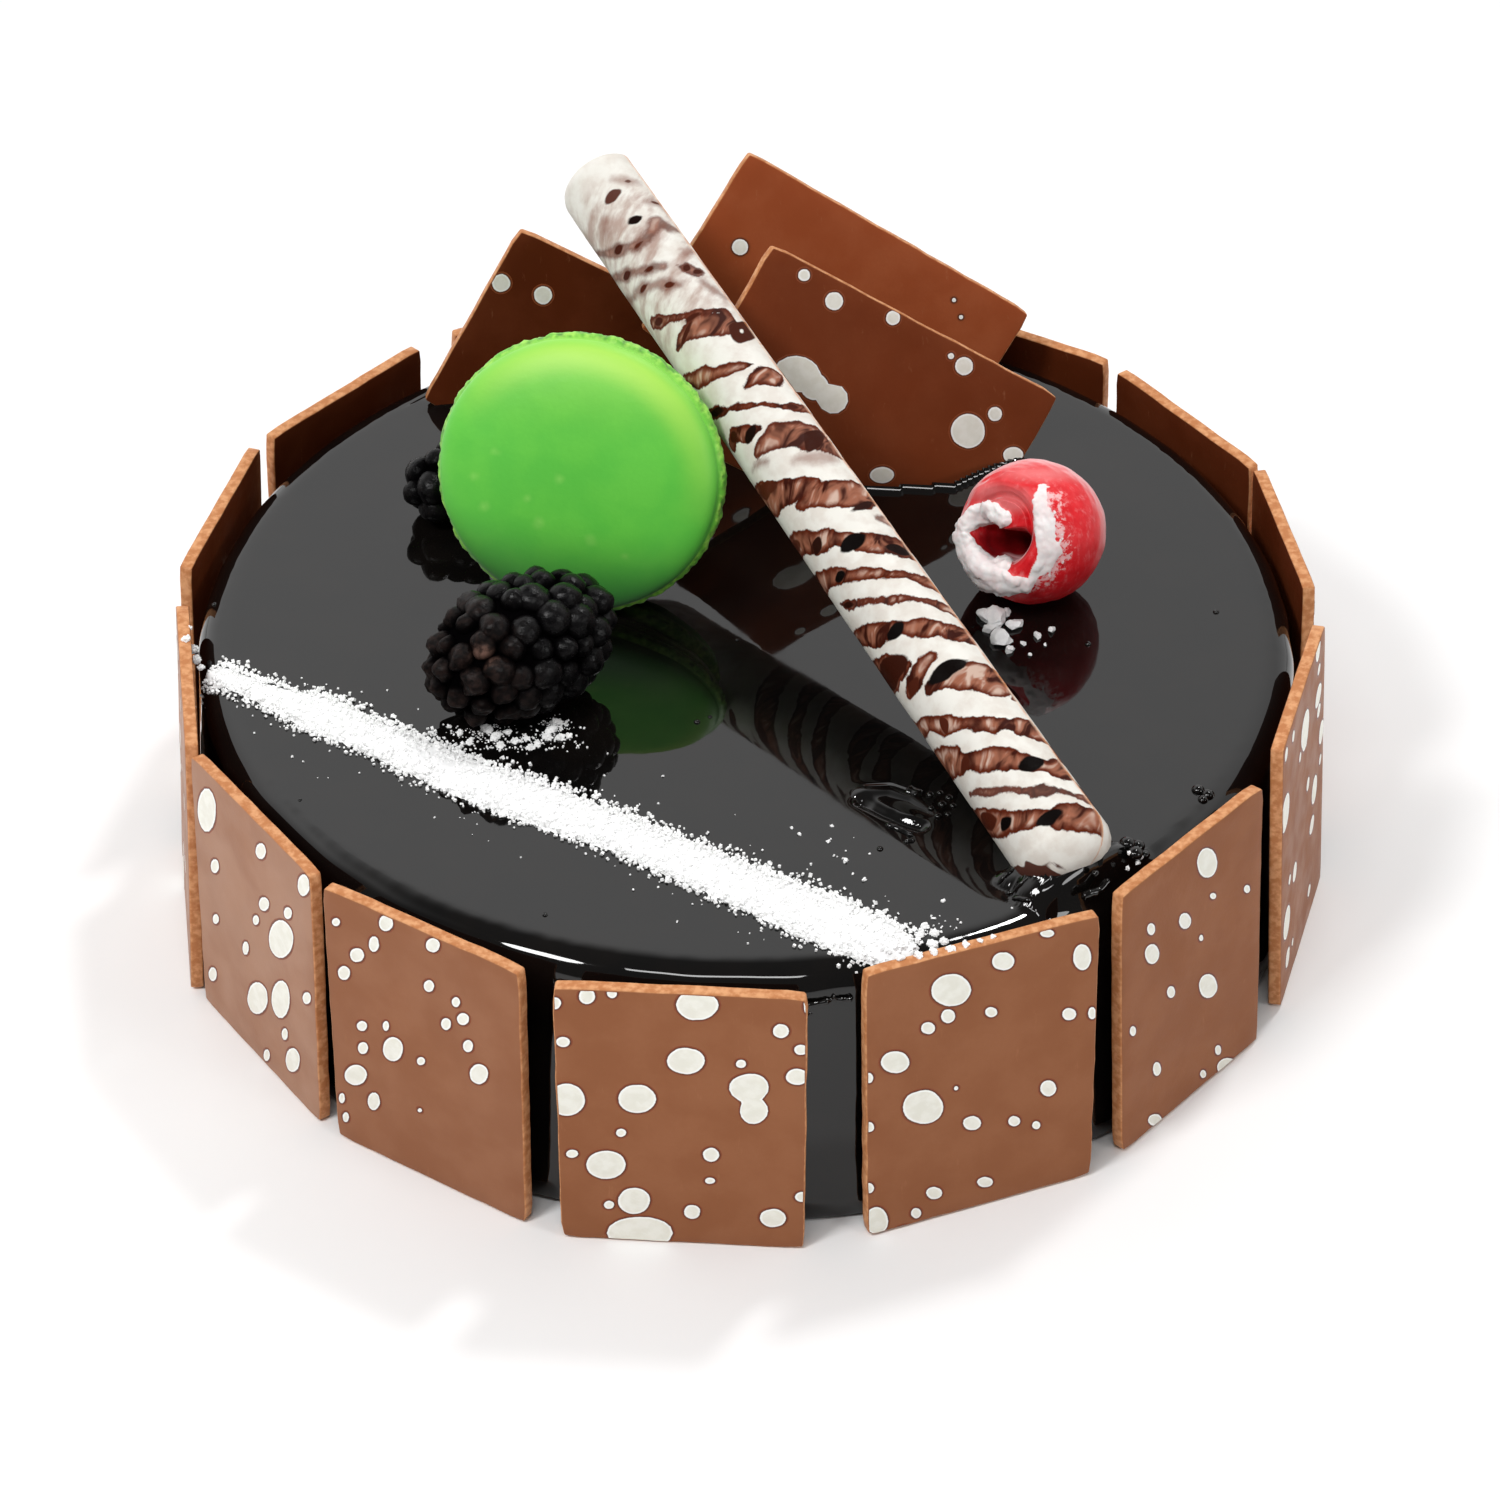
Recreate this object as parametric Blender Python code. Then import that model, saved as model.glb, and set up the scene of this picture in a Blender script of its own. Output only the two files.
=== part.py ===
"""A round glazed chocolate cake, ringed with chocolate panels and decorated on top.

The frame has its origin at the middle of the cake's flat base, with +Z up. The
front of the cake faces -Y, and +X is to the right of someone who faces the front.
Lengths are in metres: MM turns a value in millimetres into metres.
"""

import math
import random

import bmesh
import bpy
from mathutils import Matrix, Vector

MM = 0.001
GAP = 0.3 * MM  # clearance left where one piece sits in or against another

# Cake body: a turned shape with slightly drawn-in sides and a round shoulder.
CAKE_TOP = 45.2 * MM
CAKE_FOOT_RADIUS = 87.0 * MM
CAKE_SHOULDER_RADIUS = 84.1 * MM
SHOULDER_DROP = 4.4 * MM
SHOULDER_WIDTH = 3.8 * MM
CAKE_SEGMENTS = 84

# Panels round the side: hand-cut chocolate rectangles that stand on the base line.
PANEL_RING_RADIUS = 90.0 * MM
PANEL_HEIGHT = 48.3 * MM
PANEL_THICKNESS = 2.0 * MM
PANEL_EDGE = 0.35 * MM
PANEL_COUNT = 14
FIRST_PANEL_ANGLE = -5.0  # degrees from the front, towards +X
# Each panel was set by hand. Slip and twist, degrees; lean inwards, degrees;
# width, extra height and extra distance from the middle, millimetres.
PANEL_SETTING = (
    (-0.7, 1.9, 0.4, 35.0, -0.1, 0.9),
    (1.6, -1.3, 3.4, 35.4, 0.0, -0.3),
    (1.5, -0.2, 4.2, 33.2, -0.2, -0.3),
    (1.4, -0.7, 4.2, 32.2, 1.8, 0.3),
    (4.1, -3.6, 3.0, 32.4, 0.1, -0.2),
    (0.6, 1.0, 2.9, 33.9, 0.0, 0.0),
    (-0.9, 0.0, 3.0, 34.0, 0.0, 0.0),
    (0.6, 1.2, 3.2, 33.6, 0.3, 0.2),
    (1.8, -1.0, 2.8, 34.4, -0.2, 0.0),
    (3.2, 0.0, 2.9, 34.4, 0.1, 0.0),
    (2.0, 2.6, 3.2, 33.8, 0.1, 0.0),
    (4.7, -4.2, 3.8, 35.2, 0.0, 0.1),
    (2.0, 0.5, 2.4, 33.8, -0.9, -0.1),
    (0.0, -1.9, 1.4, 33.9, -0.5, 0.2),
)

# Three longer panels pushed into the top. Facing: degrees from the front towards
# +X. Lean: degrees back from upright. Slope: fall of the long top edge, degrees.
TOP_PANEL_WIDTH = 34.0 * MM
TOP_PANEL_THICKNESS = 1.8 * MM
TOP_PANELS = {
    "top_panel_left": ((-36.3, 61.9, 75.5), 6.0, 9.0, 30.6, 56.0),
    "top_panel_back": ((0.5, 66.7, 87.0), 8.3, 15.6, 34.1, 55.0),
    "top_panel_front": ((4.3, 41.0, 85.7), 15.9, 15.8, 35.5, 55.9),
}

# Marbled roll: a sheet rolled up once and a half, open above and closed at the foot.
ROLL_FOOT = Vector((45.8, -61.3, 48.2)) * MM
ROLL_TOP = Vector((-23.6, 57.9, 86.9)) * MM
ROLL_FOOT_RADIUS = 7.4 * MM
ROLL_TOP_RADIUS = 6.45 * MM
ROLL_BORE_RADIUS = 3.4 * MM
ROLL_LAP = 0.7 * MM  # step where the sheet ends on the outside
ROLL_SEAM_ANGLE = 124.0
ROLL_SIDES = 26

# Macaron: two domed shells with ruffled feet and a filling between them.
MACARON_BASE = Vector((-26.8, 0.1, 45.5)) * MM  # lowest point of the front shell's rim
MACARON_FACING = -12.0
MACARON_LEAN = 25.5
MACARON_RADIUS = 22.7 * MM
MACARON_FLATTENING = 0.957  # height of the oval over its width
SHELL_DEPTH = 6.4 * MM
FOOT_DEPTH = 2.3 * MM
FILLING_DEPTH = 1.6 * MM
MACARON_SEGMENTS = 60
# The back shell is a little smaller and has slipped down and to the left.
BACK_SHELL_SIZE = 0.975
BACK_SHELL_SLIP = Vector((-1.3, -1.0, 0.0)) * MM

# Berries. Centre, direction of the long axis, half length and half width.
FRONT_BERRY = ((-33.5, -21.3, 55.2), (0.83, 0.53, 0.16), 16.0, 10.8)
LEFT_BERRY = ((-44.4, 27.0, 51.5), (0.9, 0.42, 0.1), 10.4, 7.0)
DRUPELET_SPACING = 4.9 * MM
RED_BERRY_CENTRE = Vector((45.2, 7.2, 55.2)) * MM
RED_BERRY_OPENING = Vector((-0.64, -0.595, 0.483))
RED_BERRY_RADIUS = 11.1 * MM
RED_BERRY_SEGMENTS = 36

# Sugar dusted in a straight band across the top.
SUGAR_START = Vector((-79.0, -15.6, 45.2)) * MM
SUGAR_END = Vector((18.6, -75.6, 45.2)) * MM
SUGAR_HALF_WIDTH = 4.4 * MM
SUGAR_HEIGHT = 0.8 * MM
SUGAR_STATIONS = 30

# Thick glaze round the foot of the roll, a folded patch beside it, and crumbs of
# sugar. Place, half sizes and turn about the vertical in degrees.
GLAZE_LUMPS = (
    ((47.6, -61.4, 44.6), (11.6, 5.4, 5.4), 25.0),
    ((40.6, -62.6, 44.9), (5.6, 2.8, 2.4), -15.0),
    ((17.6, -40.6, 45.0), (4.2, 1.5, 1.1), -50.0),
    ((22.4, -44.6, 45.0), (4.6, 1.7, 1.3), -20.0),
    ((25.0, -49.8, 45.0), (4.0, 1.6, 1.1), 15.0),
)
SUGAR_LUMPS = (
    ((35.6, 0.2, 45.4), (2.6, 1.5, 1.0), 20.0),
    ((38.4, -5.2, 45.4), (2.2, 1.7, 1.2), -15.0),
    ((44.9, -6.0, 45.2), (0.8, 0.7, 0.7), 0.0),
    ((47.2, -4.5, 45.2), (0.8, 0.6, 0.6), 30.0),
)


def clear_scene():
    for thing in list(bpy.data.objects):
        bpy.data.objects.remove(thing)


def make_material(name, colour, roughness, coat=0.0):
    material = bpy.data.materials.new(name)
    material.use_nodes = True
    surface = material.node_tree.nodes["Principled BSDF"]
    surface.inputs["Base Color"].default_value = (*colour, 1.0)
    surface.inputs["Roughness"].default_value = roughness
    surface.inputs["Metallic"].default_value = 0.0
    surface.inputs["Coat Weight"].default_value = coat
    material.diffuse_color = (*colour, 1.0)
    return material


def object_from(name, shape, material, smooth_angle=35.0):
    """Turns a bmesh into an object of the scene and frees the bmesh."""
    bmesh.ops.recalc_face_normals(shape, faces=shape.faces)
    mesh = bpy.data.meshes.new(name)
    shape.to_mesh(mesh)
    shape.free()
    mesh.shade_smooth()
    mesh.set_sharp_from_angle(angle=math.radians(smooth_angle))
    mesh.materials.append(material)
    thing = bpy.data.objects.new(name, mesh)
    bpy.context.scene.collection.objects.link(thing)
    return thing


def combine(target, helpers, operation, solver="EXACT"):
    """Joins the helpers to the target or cuts them from it, then removes them."""
    group = bpy.data.collections.new("helpers")
    bpy.context.scene.collection.children.link(group)
    for helper in helpers:
        bpy.context.scene.collection.objects.unlink(helper)
        group.objects.link(helper)
    modifier = target.modifiers.new("combine", "BOOLEAN")
    modifier.operation = operation
    modifier.operand_type = "COLLECTION"
    modifier.collection = group
    modifier.solver = solver
    with bpy.context.temp_override(object=target):
        bpy.ops.object.modifier_apply(modifier=modifier.name)
    for helper in helpers:
        bpy.data.objects.remove(helper)
    bpy.data.collections.remove(group)


def turned(profile, segments, stretch=1.0, swell=None):
    """A closed shape turned about Z. The profile runs from one pole to the other.

    swell(angle, index) gives the change of radius at a point of the profile.
    """
    shape = bmesh.new()
    rings = []
    for index, (radius, height) in enumerate(profile):
        if radius <= 0.0:
            rings.append([shape.verts.new((0.0, 0.0, height))])
            continue
        ring = []
        for step in range(segments):
            angle = 2.0 * math.pi * step / segments
            reach = radius + (swell(angle, index) if swell else 0.0)
            place = (reach * math.cos(angle), stretch * reach * math.sin(angle), height)
            ring.append(shape.verts.new(place))
        rings.append(ring)
    bridge_rings(shape, rings)
    return shape


def bridge_rings(shape, rings):
    """Joins rings of points into faces. A ring of one point is a pole."""
    for low, high in zip(rings, rings[1:]):
        count = max(len(low), len(high))
        for step in range(count):
            following = (step + 1) % count
            corners = [low[step % len(low)], low[following % len(low)]]
            corners += [high[following % len(high)], high[step % len(high)]]
            distinct = [c for i, c in enumerate(corners) if c not in corners[:i]]
            shape.faces.new(distinct)


def moved(shape, matrix):
    bmesh.ops.transform(shape, matrix=matrix, verts=shape.verts)
    return shape


def axes_matrix(x_axis, y_axis, z_axis, place):
    matrix = Matrix((x_axis, y_axis, z_axis)).transposed().to_4x4()
    matrix.translation = place
    return matrix


def along(direction, place, spin=0.0):
    """A frame whose Z axis follows the direction."""
    turn = Vector(direction).to_track_quat("Z", "Y").to_matrix().to_4x4()
    return Matrix.Translation(place) @ turn @ Matrix.Rotation(math.radians(spin), 4, "Z")


def facing_frame(facing, lean, slope, corner):
    """Axes of a leaning panel: along its top edge, down its short edge, outwards."""
    facing, lean, slope = (math.radians(value) for value in (facing, lean, slope))
    outward = Vector(
        (
            math.sin(facing) * math.cos(lean),
            -math.cos(facing) * math.cos(lean),
            math.sin(lean),
        )
    )
    level = Vector((math.cos(facing), math.sin(facing), 0.0))
    upward = outward.cross(level)
    long_edge = level * math.cos(slope) - upward * math.sin(slope)
    short_edge = -level * math.sin(slope) - upward * math.cos(slope)
    return axes_matrix(long_edge, -short_edge, outward, corner)


def slab(width, height, thickness, edge):
    """A rectangle with softened edges, centred on its own middle."""
    shape = bmesh.new()
    bmesh.ops.create_cube(shape, size=1.0)
    bmesh.ops.scale(shape, vec=(width, height, thickness), verts=shape.verts)
    if edge:
        bmesh.ops.bevel(
            shape, geom=shape.edges[:], offset=edge, segments=1, affect="EDGES"
        )
    return shape


def lump(half_sizes, sides=8):
    shape = bmesh.new()
    bmesh.ops.create_uvsphere(shape, u_segments=sides, v_segments=6, radius=1.0)
    bmesh.ops.scale(shape, vec=half_sizes, verts=shape.verts)
    return shape


def side_panels(material):
    for index, setting in enumerate(PANEL_SETTING):
        slip, twist, lean, width, extra, outset = setting
        angle = FIRST_PANEL_ANGLE + index * 360.0 / PANEL_COUNT + slip
        height = PANEL_HEIGHT + extra * MM
        shape = slab(width * MM, height, PANEL_THICKNESS, PANEL_EDGE)
        # Upright, its outer face on the ring at the base line, leaning inwards.
        lift = height / 2.0 + PANEL_THICKNESS * math.sin(math.radians(lean))
        stand = Matrix.Rotation(math.radians(90.0), 4, "X")
        place = Matrix.Translation((0.0, PANEL_THICKNESS / 2.0, lift))
        tip = Matrix.Rotation(math.radians(-lean), 4, "X")
        on_ring = Matrix.Translation((0.0, -PANEL_RING_RADIUS - outset * MM, 0.0))
        turn_in_place = Matrix.Rotation(math.radians(twist), 4, "Z")
        round_ring = Matrix.Rotation(math.radians(angle), 4, "Z")
        moved(shape, round_ring @ on_ring @ turn_in_place @ tip @ place @ stand)
        object_from(f"side_panel_{index + 1:02d}", shape, material)


def top_panel_shape(setting, grow):
    corner, facing, lean, slope, length = setting
    frame = facing_frame(facing, lean, slope, Vector(corner) * MM)
    middle = (length * MM / 2.0, -TOP_PANEL_WIDTH / 2.0, -TOP_PANEL_THICKNESS / 2.0)
    sizes = (length * MM, TOP_PANEL_WIDTH, TOP_PANEL_THICKNESS)
    edge = 0.0 if grow else PANEL_EDGE * 0.8
    shape = slab(*(size + 2.0 * grow for size in sizes), edge)
    return moved(shape, frame @ Matrix.Translation(middle))


def roll_frame():
    return along(ROLL_TOP - ROLL_FOOT, ROLL_FOOT, ROLL_SEAM_ANGLE)


def roll_shape():
    """A tapered tube with a lapped seam, a blind bore and a rounded foot."""
    length = (ROLL_TOP - ROLL_FOOT).length
    narrowing = (ROLL_TOP_RADIUS - ROLL_FOOT_RADIUS) / length

    def ring_radius(turn, height, base):
        return base + narrowing * height + ROLL_LAP * (turn - 0.5)

    shape = bmesh.new()

    def ring(height, scale, base, lap):
        points = []
        for step in range(ROLL_SIDES):
            turn = step / (ROLL_SIDES - 1)
            # The last two points stand almost over each other and form the seam.
            angle = 2.0 * math.pi * 0.985 * turn
            reach = scale * (ring_radius(turn, height, base) if lap else base)
            place = (reach * math.cos(angle), reach * math.sin(angle), height)
            points.append(shape.verts.new(place))
        return points

    foot = [(-3.6 * MM, 0.0), (-3.1 * MM, 0.55), (-1.6 * MM, 0.86), (0.6 * MM, 1.0)]
    rings = [[shape.verts.new((0.0, 0.0, foot[0][0]))]]
    rings += [ring(height, scale, ROLL_FOOT_RADIUS, True) for height, scale in foot[1:]]
    rings += [ring(length * part, 1.0, ROLL_FOOT_RADIUS, True) for part in (0.35, 0.7)]
    rings.append(ring(length, 1.0, ROLL_FOOT_RADIUS, True))
    rings.append(ring(length, 1.0, ROLL_BORE_RADIUS, False))
    bore_floor = length * 0.25
    rings.append(ring(bore_floor, 1.0, ROLL_BORE_RADIUS, False))
    rings.append([shape.verts.new((0.0, 0.0, bore_floor))])
    bridge_rings(shape, rings)
    return moved(shape, roll_frame())


def roll_cutter():
    length = 60.0 * MM
    reach = ROLL_FOOT_RADIUS + ROLL_LAP / 2.0 + GAP
    profile = [
        (0.0, -4.2 * MM),
        (0.62 * reach, -3.7 * MM),
        (0.93 * reach, -1.8 * MM),
        (reach, 0.4 * MM),
        (reach, length),
        (0.0, length),
    ]
    return moved(turned(profile, 20), roll_frame())


def macaron_frame():
    """Its X axis is level, its Y axis climbs the leaning face, Z points outwards."""
    frame = facing_frame(MACARON_FACING, MACARON_LEAN, 0.0, MACARON_BASE)
    rise = MACARON_RADIUS * MACARON_FLATTENING
    return frame @ Matrix.Translation((0.0, rise, 0.0))


def ruffle(seed, depth):
    """A change of radius that wavers round the rim, strongest on the foot."""
    rng = random.Random(seed)
    waves = [(rng.choice((9, 13, 17, 22)), rng.uniform(0.0, 6.28)) for _ in range(4)]

    def swell(angle, index):
        waver = sum(math.sin(count * angle + phase) for count, phase in waves) / 4.0
        return depth * waver if index in (5, 6, 7) else 0.12 * depth * waver

    return swell


def shell_profile():
    """From the middle of the dome to the rim, and over the ruffled foot."""
    crown = SHELL_DEPTH
    radius = MACARON_RADIUS
    return [
        (0.0, crown),
        (0.42 * radius, 0.975 * crown),
        (0.72 * radius, 0.86 * crown),
        (0.88 * radius, 0.7 * crown),
        (0.955 * radius, 0.46 * crown),
        (0.965 * radius, FOOT_DEPTH),
        (radius, 0.6 * FOOT_DEPTH),
        (0.985 * radius, 0.12 * FOOT_DEPTH),
        (0.93 * radius, 0.0),
        (0.0, 0.0),
    ]


def macaron(shell_material, filling_material):
    frame = macaron_frame()
    front = turned(
        shell_profile(), MACARON_SEGMENTS, MACARON_FLATTENING, ruffle(3, 0.4 * MM)
    )
    object_from("macaron_shell_front", moved(front, frame), shell_material)

    filling_radius = 0.915 * MACARON_RADIUS
    filling = [
        (0.0, -GAP),
        (0.97 * filling_radius, -GAP),
        (filling_radius, -GAP - 0.5 * FILLING_DEPTH),
        (0.97 * filling_radius, -GAP - FILLING_DEPTH),
        (0.0, -GAP - FILLING_DEPTH),
    ]
    shape = turned(filling, 40, MACARON_FLATTENING)
    object_from("macaron_filling", moved(shape, frame), filling_material)

    back = turned(
        shell_profile(), MACARON_SEGMENTS, MACARON_FLATTENING, ruffle(8, 0.4 * MM)
    )
    behind = Matrix.Translation((0.0, 0.0, -FILLING_DEPTH - 2.0 * GAP))
    slip = Matrix.Translation(BACK_SHELL_SLIP) @ Matrix.Scale(BACK_SHELL_SIZE, 4)
    flip = Matrix.Rotation(math.pi, 4, "Y")
    moved(back, frame @ behind @ slip @ flip)
    object_from("macaron_shell_back", back, shell_material)


def macaron_cutter():
    """Room for both shells: wider at the back, where the shell has slipped."""
    radius = MACARON_RADIUS + GAP + 0.6 * MM
    wide = radius + BACK_SHELL_SLIP.length
    depth = SHELL_DEPTH + GAP + 0.3 * MM
    back = -FILLING_DEPTH - 2.0 * GAP - depth
    profile = [
        (0.0, depth),
        (0.75 * radius, 0.9 * depth),
        (0.97 * radius, 0.5 * depth),
        (radius, 0.0),
        (wide, -FILLING_DEPTH),
        (0.98 * wide, back + 0.5 * depth),
        (0.78 * wide, back + 0.1 * depth),
        (0.0, back),
    ]
    return moved(turned(profile, 40, MACARON_FLATTENING), macaron_frame())


def drupelet_places(half_length, half_width, spacing, rng):
    """Staggered rows round an egg shape: yields a point and its outward direction."""
    samples = 400
    arc = [0.0]
    for step in range(samples):
        middle = math.pi * (step + 0.5) / samples
        run = math.hypot(half_length * math.sin(middle), half_width * math.cos(middle))
        arc.append(arc[-1] + run * math.pi / samples)
    rows = max(3, round(arc[-1] / (0.87 * spacing)))
    for row in range(rows + 1):
        wanted = arc[-1] * row / rows
        latitude = math.pi * next(i for i, a in enumerate(arc) if a >= wanted) / samples
        ring_radius = half_width * math.sin(latitude)
        count = max(1, round(2.0 * math.pi * ring_radius / spacing))
        start = 0.5 * (row % 2) + rng.uniform(-0.15, 0.15)
        for step in range(count):
            angle = 2.0 * math.pi * (step + start + rng.uniform(-0.1, 0.1)) / count
            point = Vector(
                (
                    ring_radius * math.cos(angle),
                    ring_radius * math.sin(angle),
                    half_length * math.cos(latitude),
                )
            )
            outward = Vector(
                (
                    point.x / half_width**2,
                    point.y / half_width**2,
                    point.z / half_length**2,
                )
            )
            yield point, outward.normalized()


def dark_berry(name, setting, seed, material):
    """A core with plump drupelets fused on in rows."""
    centre, direction, half_length, half_width = setting
    bulge = 2.35 * MM
    core_length = half_length * MM - bulge
    core_width = half_width * MM - bulge
    core_shape = lump((core_width + 0.7 * MM, core_width + 0.7 * MM, core_length), 14)
    core = object_from(name, core_shape, material, 60.0)
    rng = random.Random(seed)
    drupelets = []
    for point, outward in drupelet_places(core_length, core_width, DRUPELET_SPACING, rng):
        size = bulge * rng.uniform(0.94, 1.08)
        shape = bmesh.new()
        bmesh.ops.create_uvsphere(shape, u_segments=6, v_segments=4, radius=size)
        moved(shape, along(outward, point))
        drupelets.append(object_from("drupelet", shape, material, 60.0))
    combine(core, drupelets, "UNION", "MANIFOLD")
    core.data.transform(along(direction, Vector(centre) * MM))
    return core


def berry_cutter(setting):
    centre, direction, half_length, half_width = setting
    room = GAP / MM + 0.6
    sizes = [(half + room) * MM for half in (half_width, half_width, half_length)]
    return moved(lump(sizes, 20), along(direction, Vector(centre) * MM))


def red_berry(material):
    """A cup-shaped berry with a deep hollow where it came off its stalk."""
    radius = RED_BERRY_RADIUS
    outer = [(0.0, -0.84), (0.42, -0.78), (0.72, -0.56), (0.92, -0.24), (1.0, 0.12)]
    outer += [(0.97, 0.42), (0.86, 0.7), (0.72, 0.86)]
    lip = [(0.6, 0.9), (0.47, 0.82)]
    hollow = [(0.4, 0.55), (0.34, 0.15), (0.22, -0.14), (0.0, -0.24)]
    profile = [(r * radius, h * radius) for r, h in outer + lip + hollow]
    rows = len(outer)

    def swell(angle, index):
        if not 0 < index < rows:
            return 0.35 * MM * math.sin(7.0 * angle + index)
        around = math.cos(12.0 * angle + math.pi * index)
        return 0.42 * MM * around + 0.2 * MM * math.sin(2.0 * angle)

    shape = turned(profile, RED_BERRY_SEGMENTS, 1.0, swell)
    frame = along(RED_BERRY_OPENING, RED_BERRY_CENTRE)
    return object_from("red_berry", moved(shape, frame), material)


def red_berry_cutter():
    size = RED_BERRY_RADIUS + GAP + 0.7 * MM
    return moved(lump((size, size, size), 20), Matrix.Translation(RED_BERRY_CENTRE))


def cake_profile():
    """From the middle of the top, over the round shoulder, to the middle of the base."""
    flat_radius = CAKE_SHOULDER_RADIUS - SHOULDER_WIDTH
    points = [(0.0, CAKE_TOP), (0.5 * flat_radius, CAKE_TOP)]
    steps = 5
    for step in range(steps + 1):
        angle = 0.5 * math.pi * step / steps
        reach = flat_radius + SHOULDER_WIDTH * math.sin(angle)
        points.append((reach, CAKE_TOP - SHOULDER_DROP * (1.0 - math.cos(angle))))
    points += [(CAKE_FOOT_RADIUS, 1.2 * MM), (CAKE_FOOT_RADIUS - 0.8 * MM, 0.0)]
    points.append((0.0, 0.0))
    return points


def sugar_band_shape():
    """A low ridge with an uneven outline that sinks a little way into the glaze."""
    rng = random.Random(21)
    shape = bmesh.new()
    run = (SUGAR_END - SUGAR_START).normalized()
    across = Vector((-run.y, run.x, 0.0))
    sunk = Vector((0.0, 0.0, -0.5 * MM))
    rings = []
    for station in range(SUGAR_STATIONS + 1):
        part = station / SUGAR_STATIONS
        middle = SUGAR_START.lerp(SUGAR_END, part)
        spread = SUGAR_HALF_WIDTH * (0.45 + 0.55 * min(1.0, part * 5.0))
        left, right = (spread * rng.uniform(0.8, 1.12) for _ in range(2))
        rise = Vector((0.0, 0.0, SUGAR_HEIGHT * rng.uniform(0.75, 1.1)))
        ring = [middle + across * left + sunk, middle + across * left * 0.8]
        ring[1] += rise * 0.45
        ring += [middle + across * left * 0.25 + rise]
        ring += [middle - across * right * 0.4 + rise * 0.95]
        ring += [middle - across * right * 0.85 + rise * 0.4]
        ring += [middle - across * right + sunk]
        rings.append([shape.verts.new(point) for point in ring])
    bridge_rings(shape, rings)
    for end in (rings[0], rings[-1]):
        shape.faces.new(end)
    return shape


def placed_lump(setting, sides):
    place, half_sizes, turn = setting
    shape = lump([size * MM for size in half_sizes], sides)
    spin = Matrix.Rotation(math.radians(turn), 4, "Z")
    return moved(shape, Matrix.Translation(Vector(place) * MM) @ spin)


def cake_body(material):
    cake = object_from("cake", turned(cake_profile(), CAKE_SEGMENTS), material)
    raised = [placed_lump(setting, 12) for setting in GLAZE_LUMPS]
    raised += [placed_lump(setting, 8) for setting in SUGAR_LUMPS]
    raised.append(sugar_band_shape())
    helpers = [object_from("raised", shape, material) for shape in raised]
    combine(cake, helpers, "UNION")
    cutters = [top_panel_shape(setting, GAP) for setting in TOP_PANELS.values()]
    cutters += [roll_cutter(), macaron_cutter(), red_berry_cutter()]
    cutters += [berry_cutter(FRONT_BERRY), berry_cutter(LEFT_BERRY)]
    for shape in cutters:
        combine(cake, [object_from("cutter", shape, material)], "DIFFERENCE")
    cake.data.set_sharp_from_angle(angle=math.radians(35.0))
    return cake


def build():
    clear_scene()
    glaze = make_material("dark_glaze", (0.012, 0.011, 0.011), 0.06, 1.0)
    panel = make_material("milk_chocolate", (0.23, 0.085, 0.04), 0.34)
    rolled = make_material("marbled_chocolate", (0.62, 0.55, 0.48), 0.4)
    shell = make_material("green_shell", (0.13, 0.5, 0.06), 0.55)
    filling = make_material("pale_filling", (0.5, 0.62, 0.3), 0.5)
    dark = make_material("dark_berry_skin", (0.012, 0.01, 0.014), 0.3)
    red = make_material("red_berry_skin", (0.6, 0.03, 0.05), 0.45)

    cake_body(glaze)
    side_panels(panel)
    for name, setting in TOP_PANELS.items():
        object_from(name, top_panel_shape(setting, 0.0), panel)
    object_from("chocolate_roll", roll_shape(), rolled, 50.0)
    macaron(shell, filling)
    dark_berry("dark_berry_front", FRONT_BERRY, 5, dark)
    dark_berry("dark_berry_left", LEFT_BERRY, 11, dark)
    red_berry(red)


build()
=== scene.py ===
"""Looks of a round chocolate cake under a dark mirror glaze.

Sizes and places are in millimetres in the tables and become metres through MM. Places that
were measured on the photograph are pixels of its 1500 x 1500 frame, and the fitted
camera turns them into places on the piece that carries them.
"""

import math
import random

import bmesh
import bpy
import numpy as np
from mathutils import Matrix, Vector, noise
from mathutils.bvhtree import BVHTree


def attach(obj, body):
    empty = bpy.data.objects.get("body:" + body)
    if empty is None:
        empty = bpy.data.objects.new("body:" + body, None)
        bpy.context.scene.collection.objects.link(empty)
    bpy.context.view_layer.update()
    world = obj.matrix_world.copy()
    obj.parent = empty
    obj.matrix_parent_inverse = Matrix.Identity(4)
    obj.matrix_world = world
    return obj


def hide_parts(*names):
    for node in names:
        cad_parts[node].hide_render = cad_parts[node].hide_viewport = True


MM = 0.001

# Camera, fitted to the corners of the side panels
CAMERA_PLACE = Vector((0.64, -506.63, 429.31)) * MM
CAMERA_PITCH = 39.08
CAMERA_LENS = 99.07
SENSOR_WIDTH = 36.0
PHOTO_SIDE = 1500

# Light: brightness of the white cards and of the room; the floor's size and how far it lies
# below the cake, in metres; for each lamp its name, its place, width and depth in metres, and
# its power in watts
CARD_BRIGHTNESS = 1.12
ROOM_BRIGHTNESS = 0.15
FLOOR_SIZE = 4.0
FLOOR_DROP = 0.0002
LAMPS = (
    ("left lamp", (-0.55, -0.5, 0.95), 0.28, 0.28, 6.2),
    ("front lamp", (-0.08, -0.55, 1.05), 0.50, 0.12, 2.6),
    ("back lamp", (0.30, 0.40, 1.05), 0.13, 0.13, 3.2),
    ("right lamp", (0.75, -0.55, 0.50), 0.30, 0.30, 1.7),
)

# Glazed body
CAKE_TOP = 45.2
FLAT_RADIUS = 80.3
ROUNDING_START = 78.0
SHOULDER_RADIUS = 84.1
SHOULDER_DROP = 4.4
SHOULDER_STEPS = 10
FOOT_RADIUS = 87.0
FOOT_HEIGHT = 1.2
FOOT_INSET = 0.8
SIDE_STEPS = 12
SIDE_SWELL = 0.28
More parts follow.
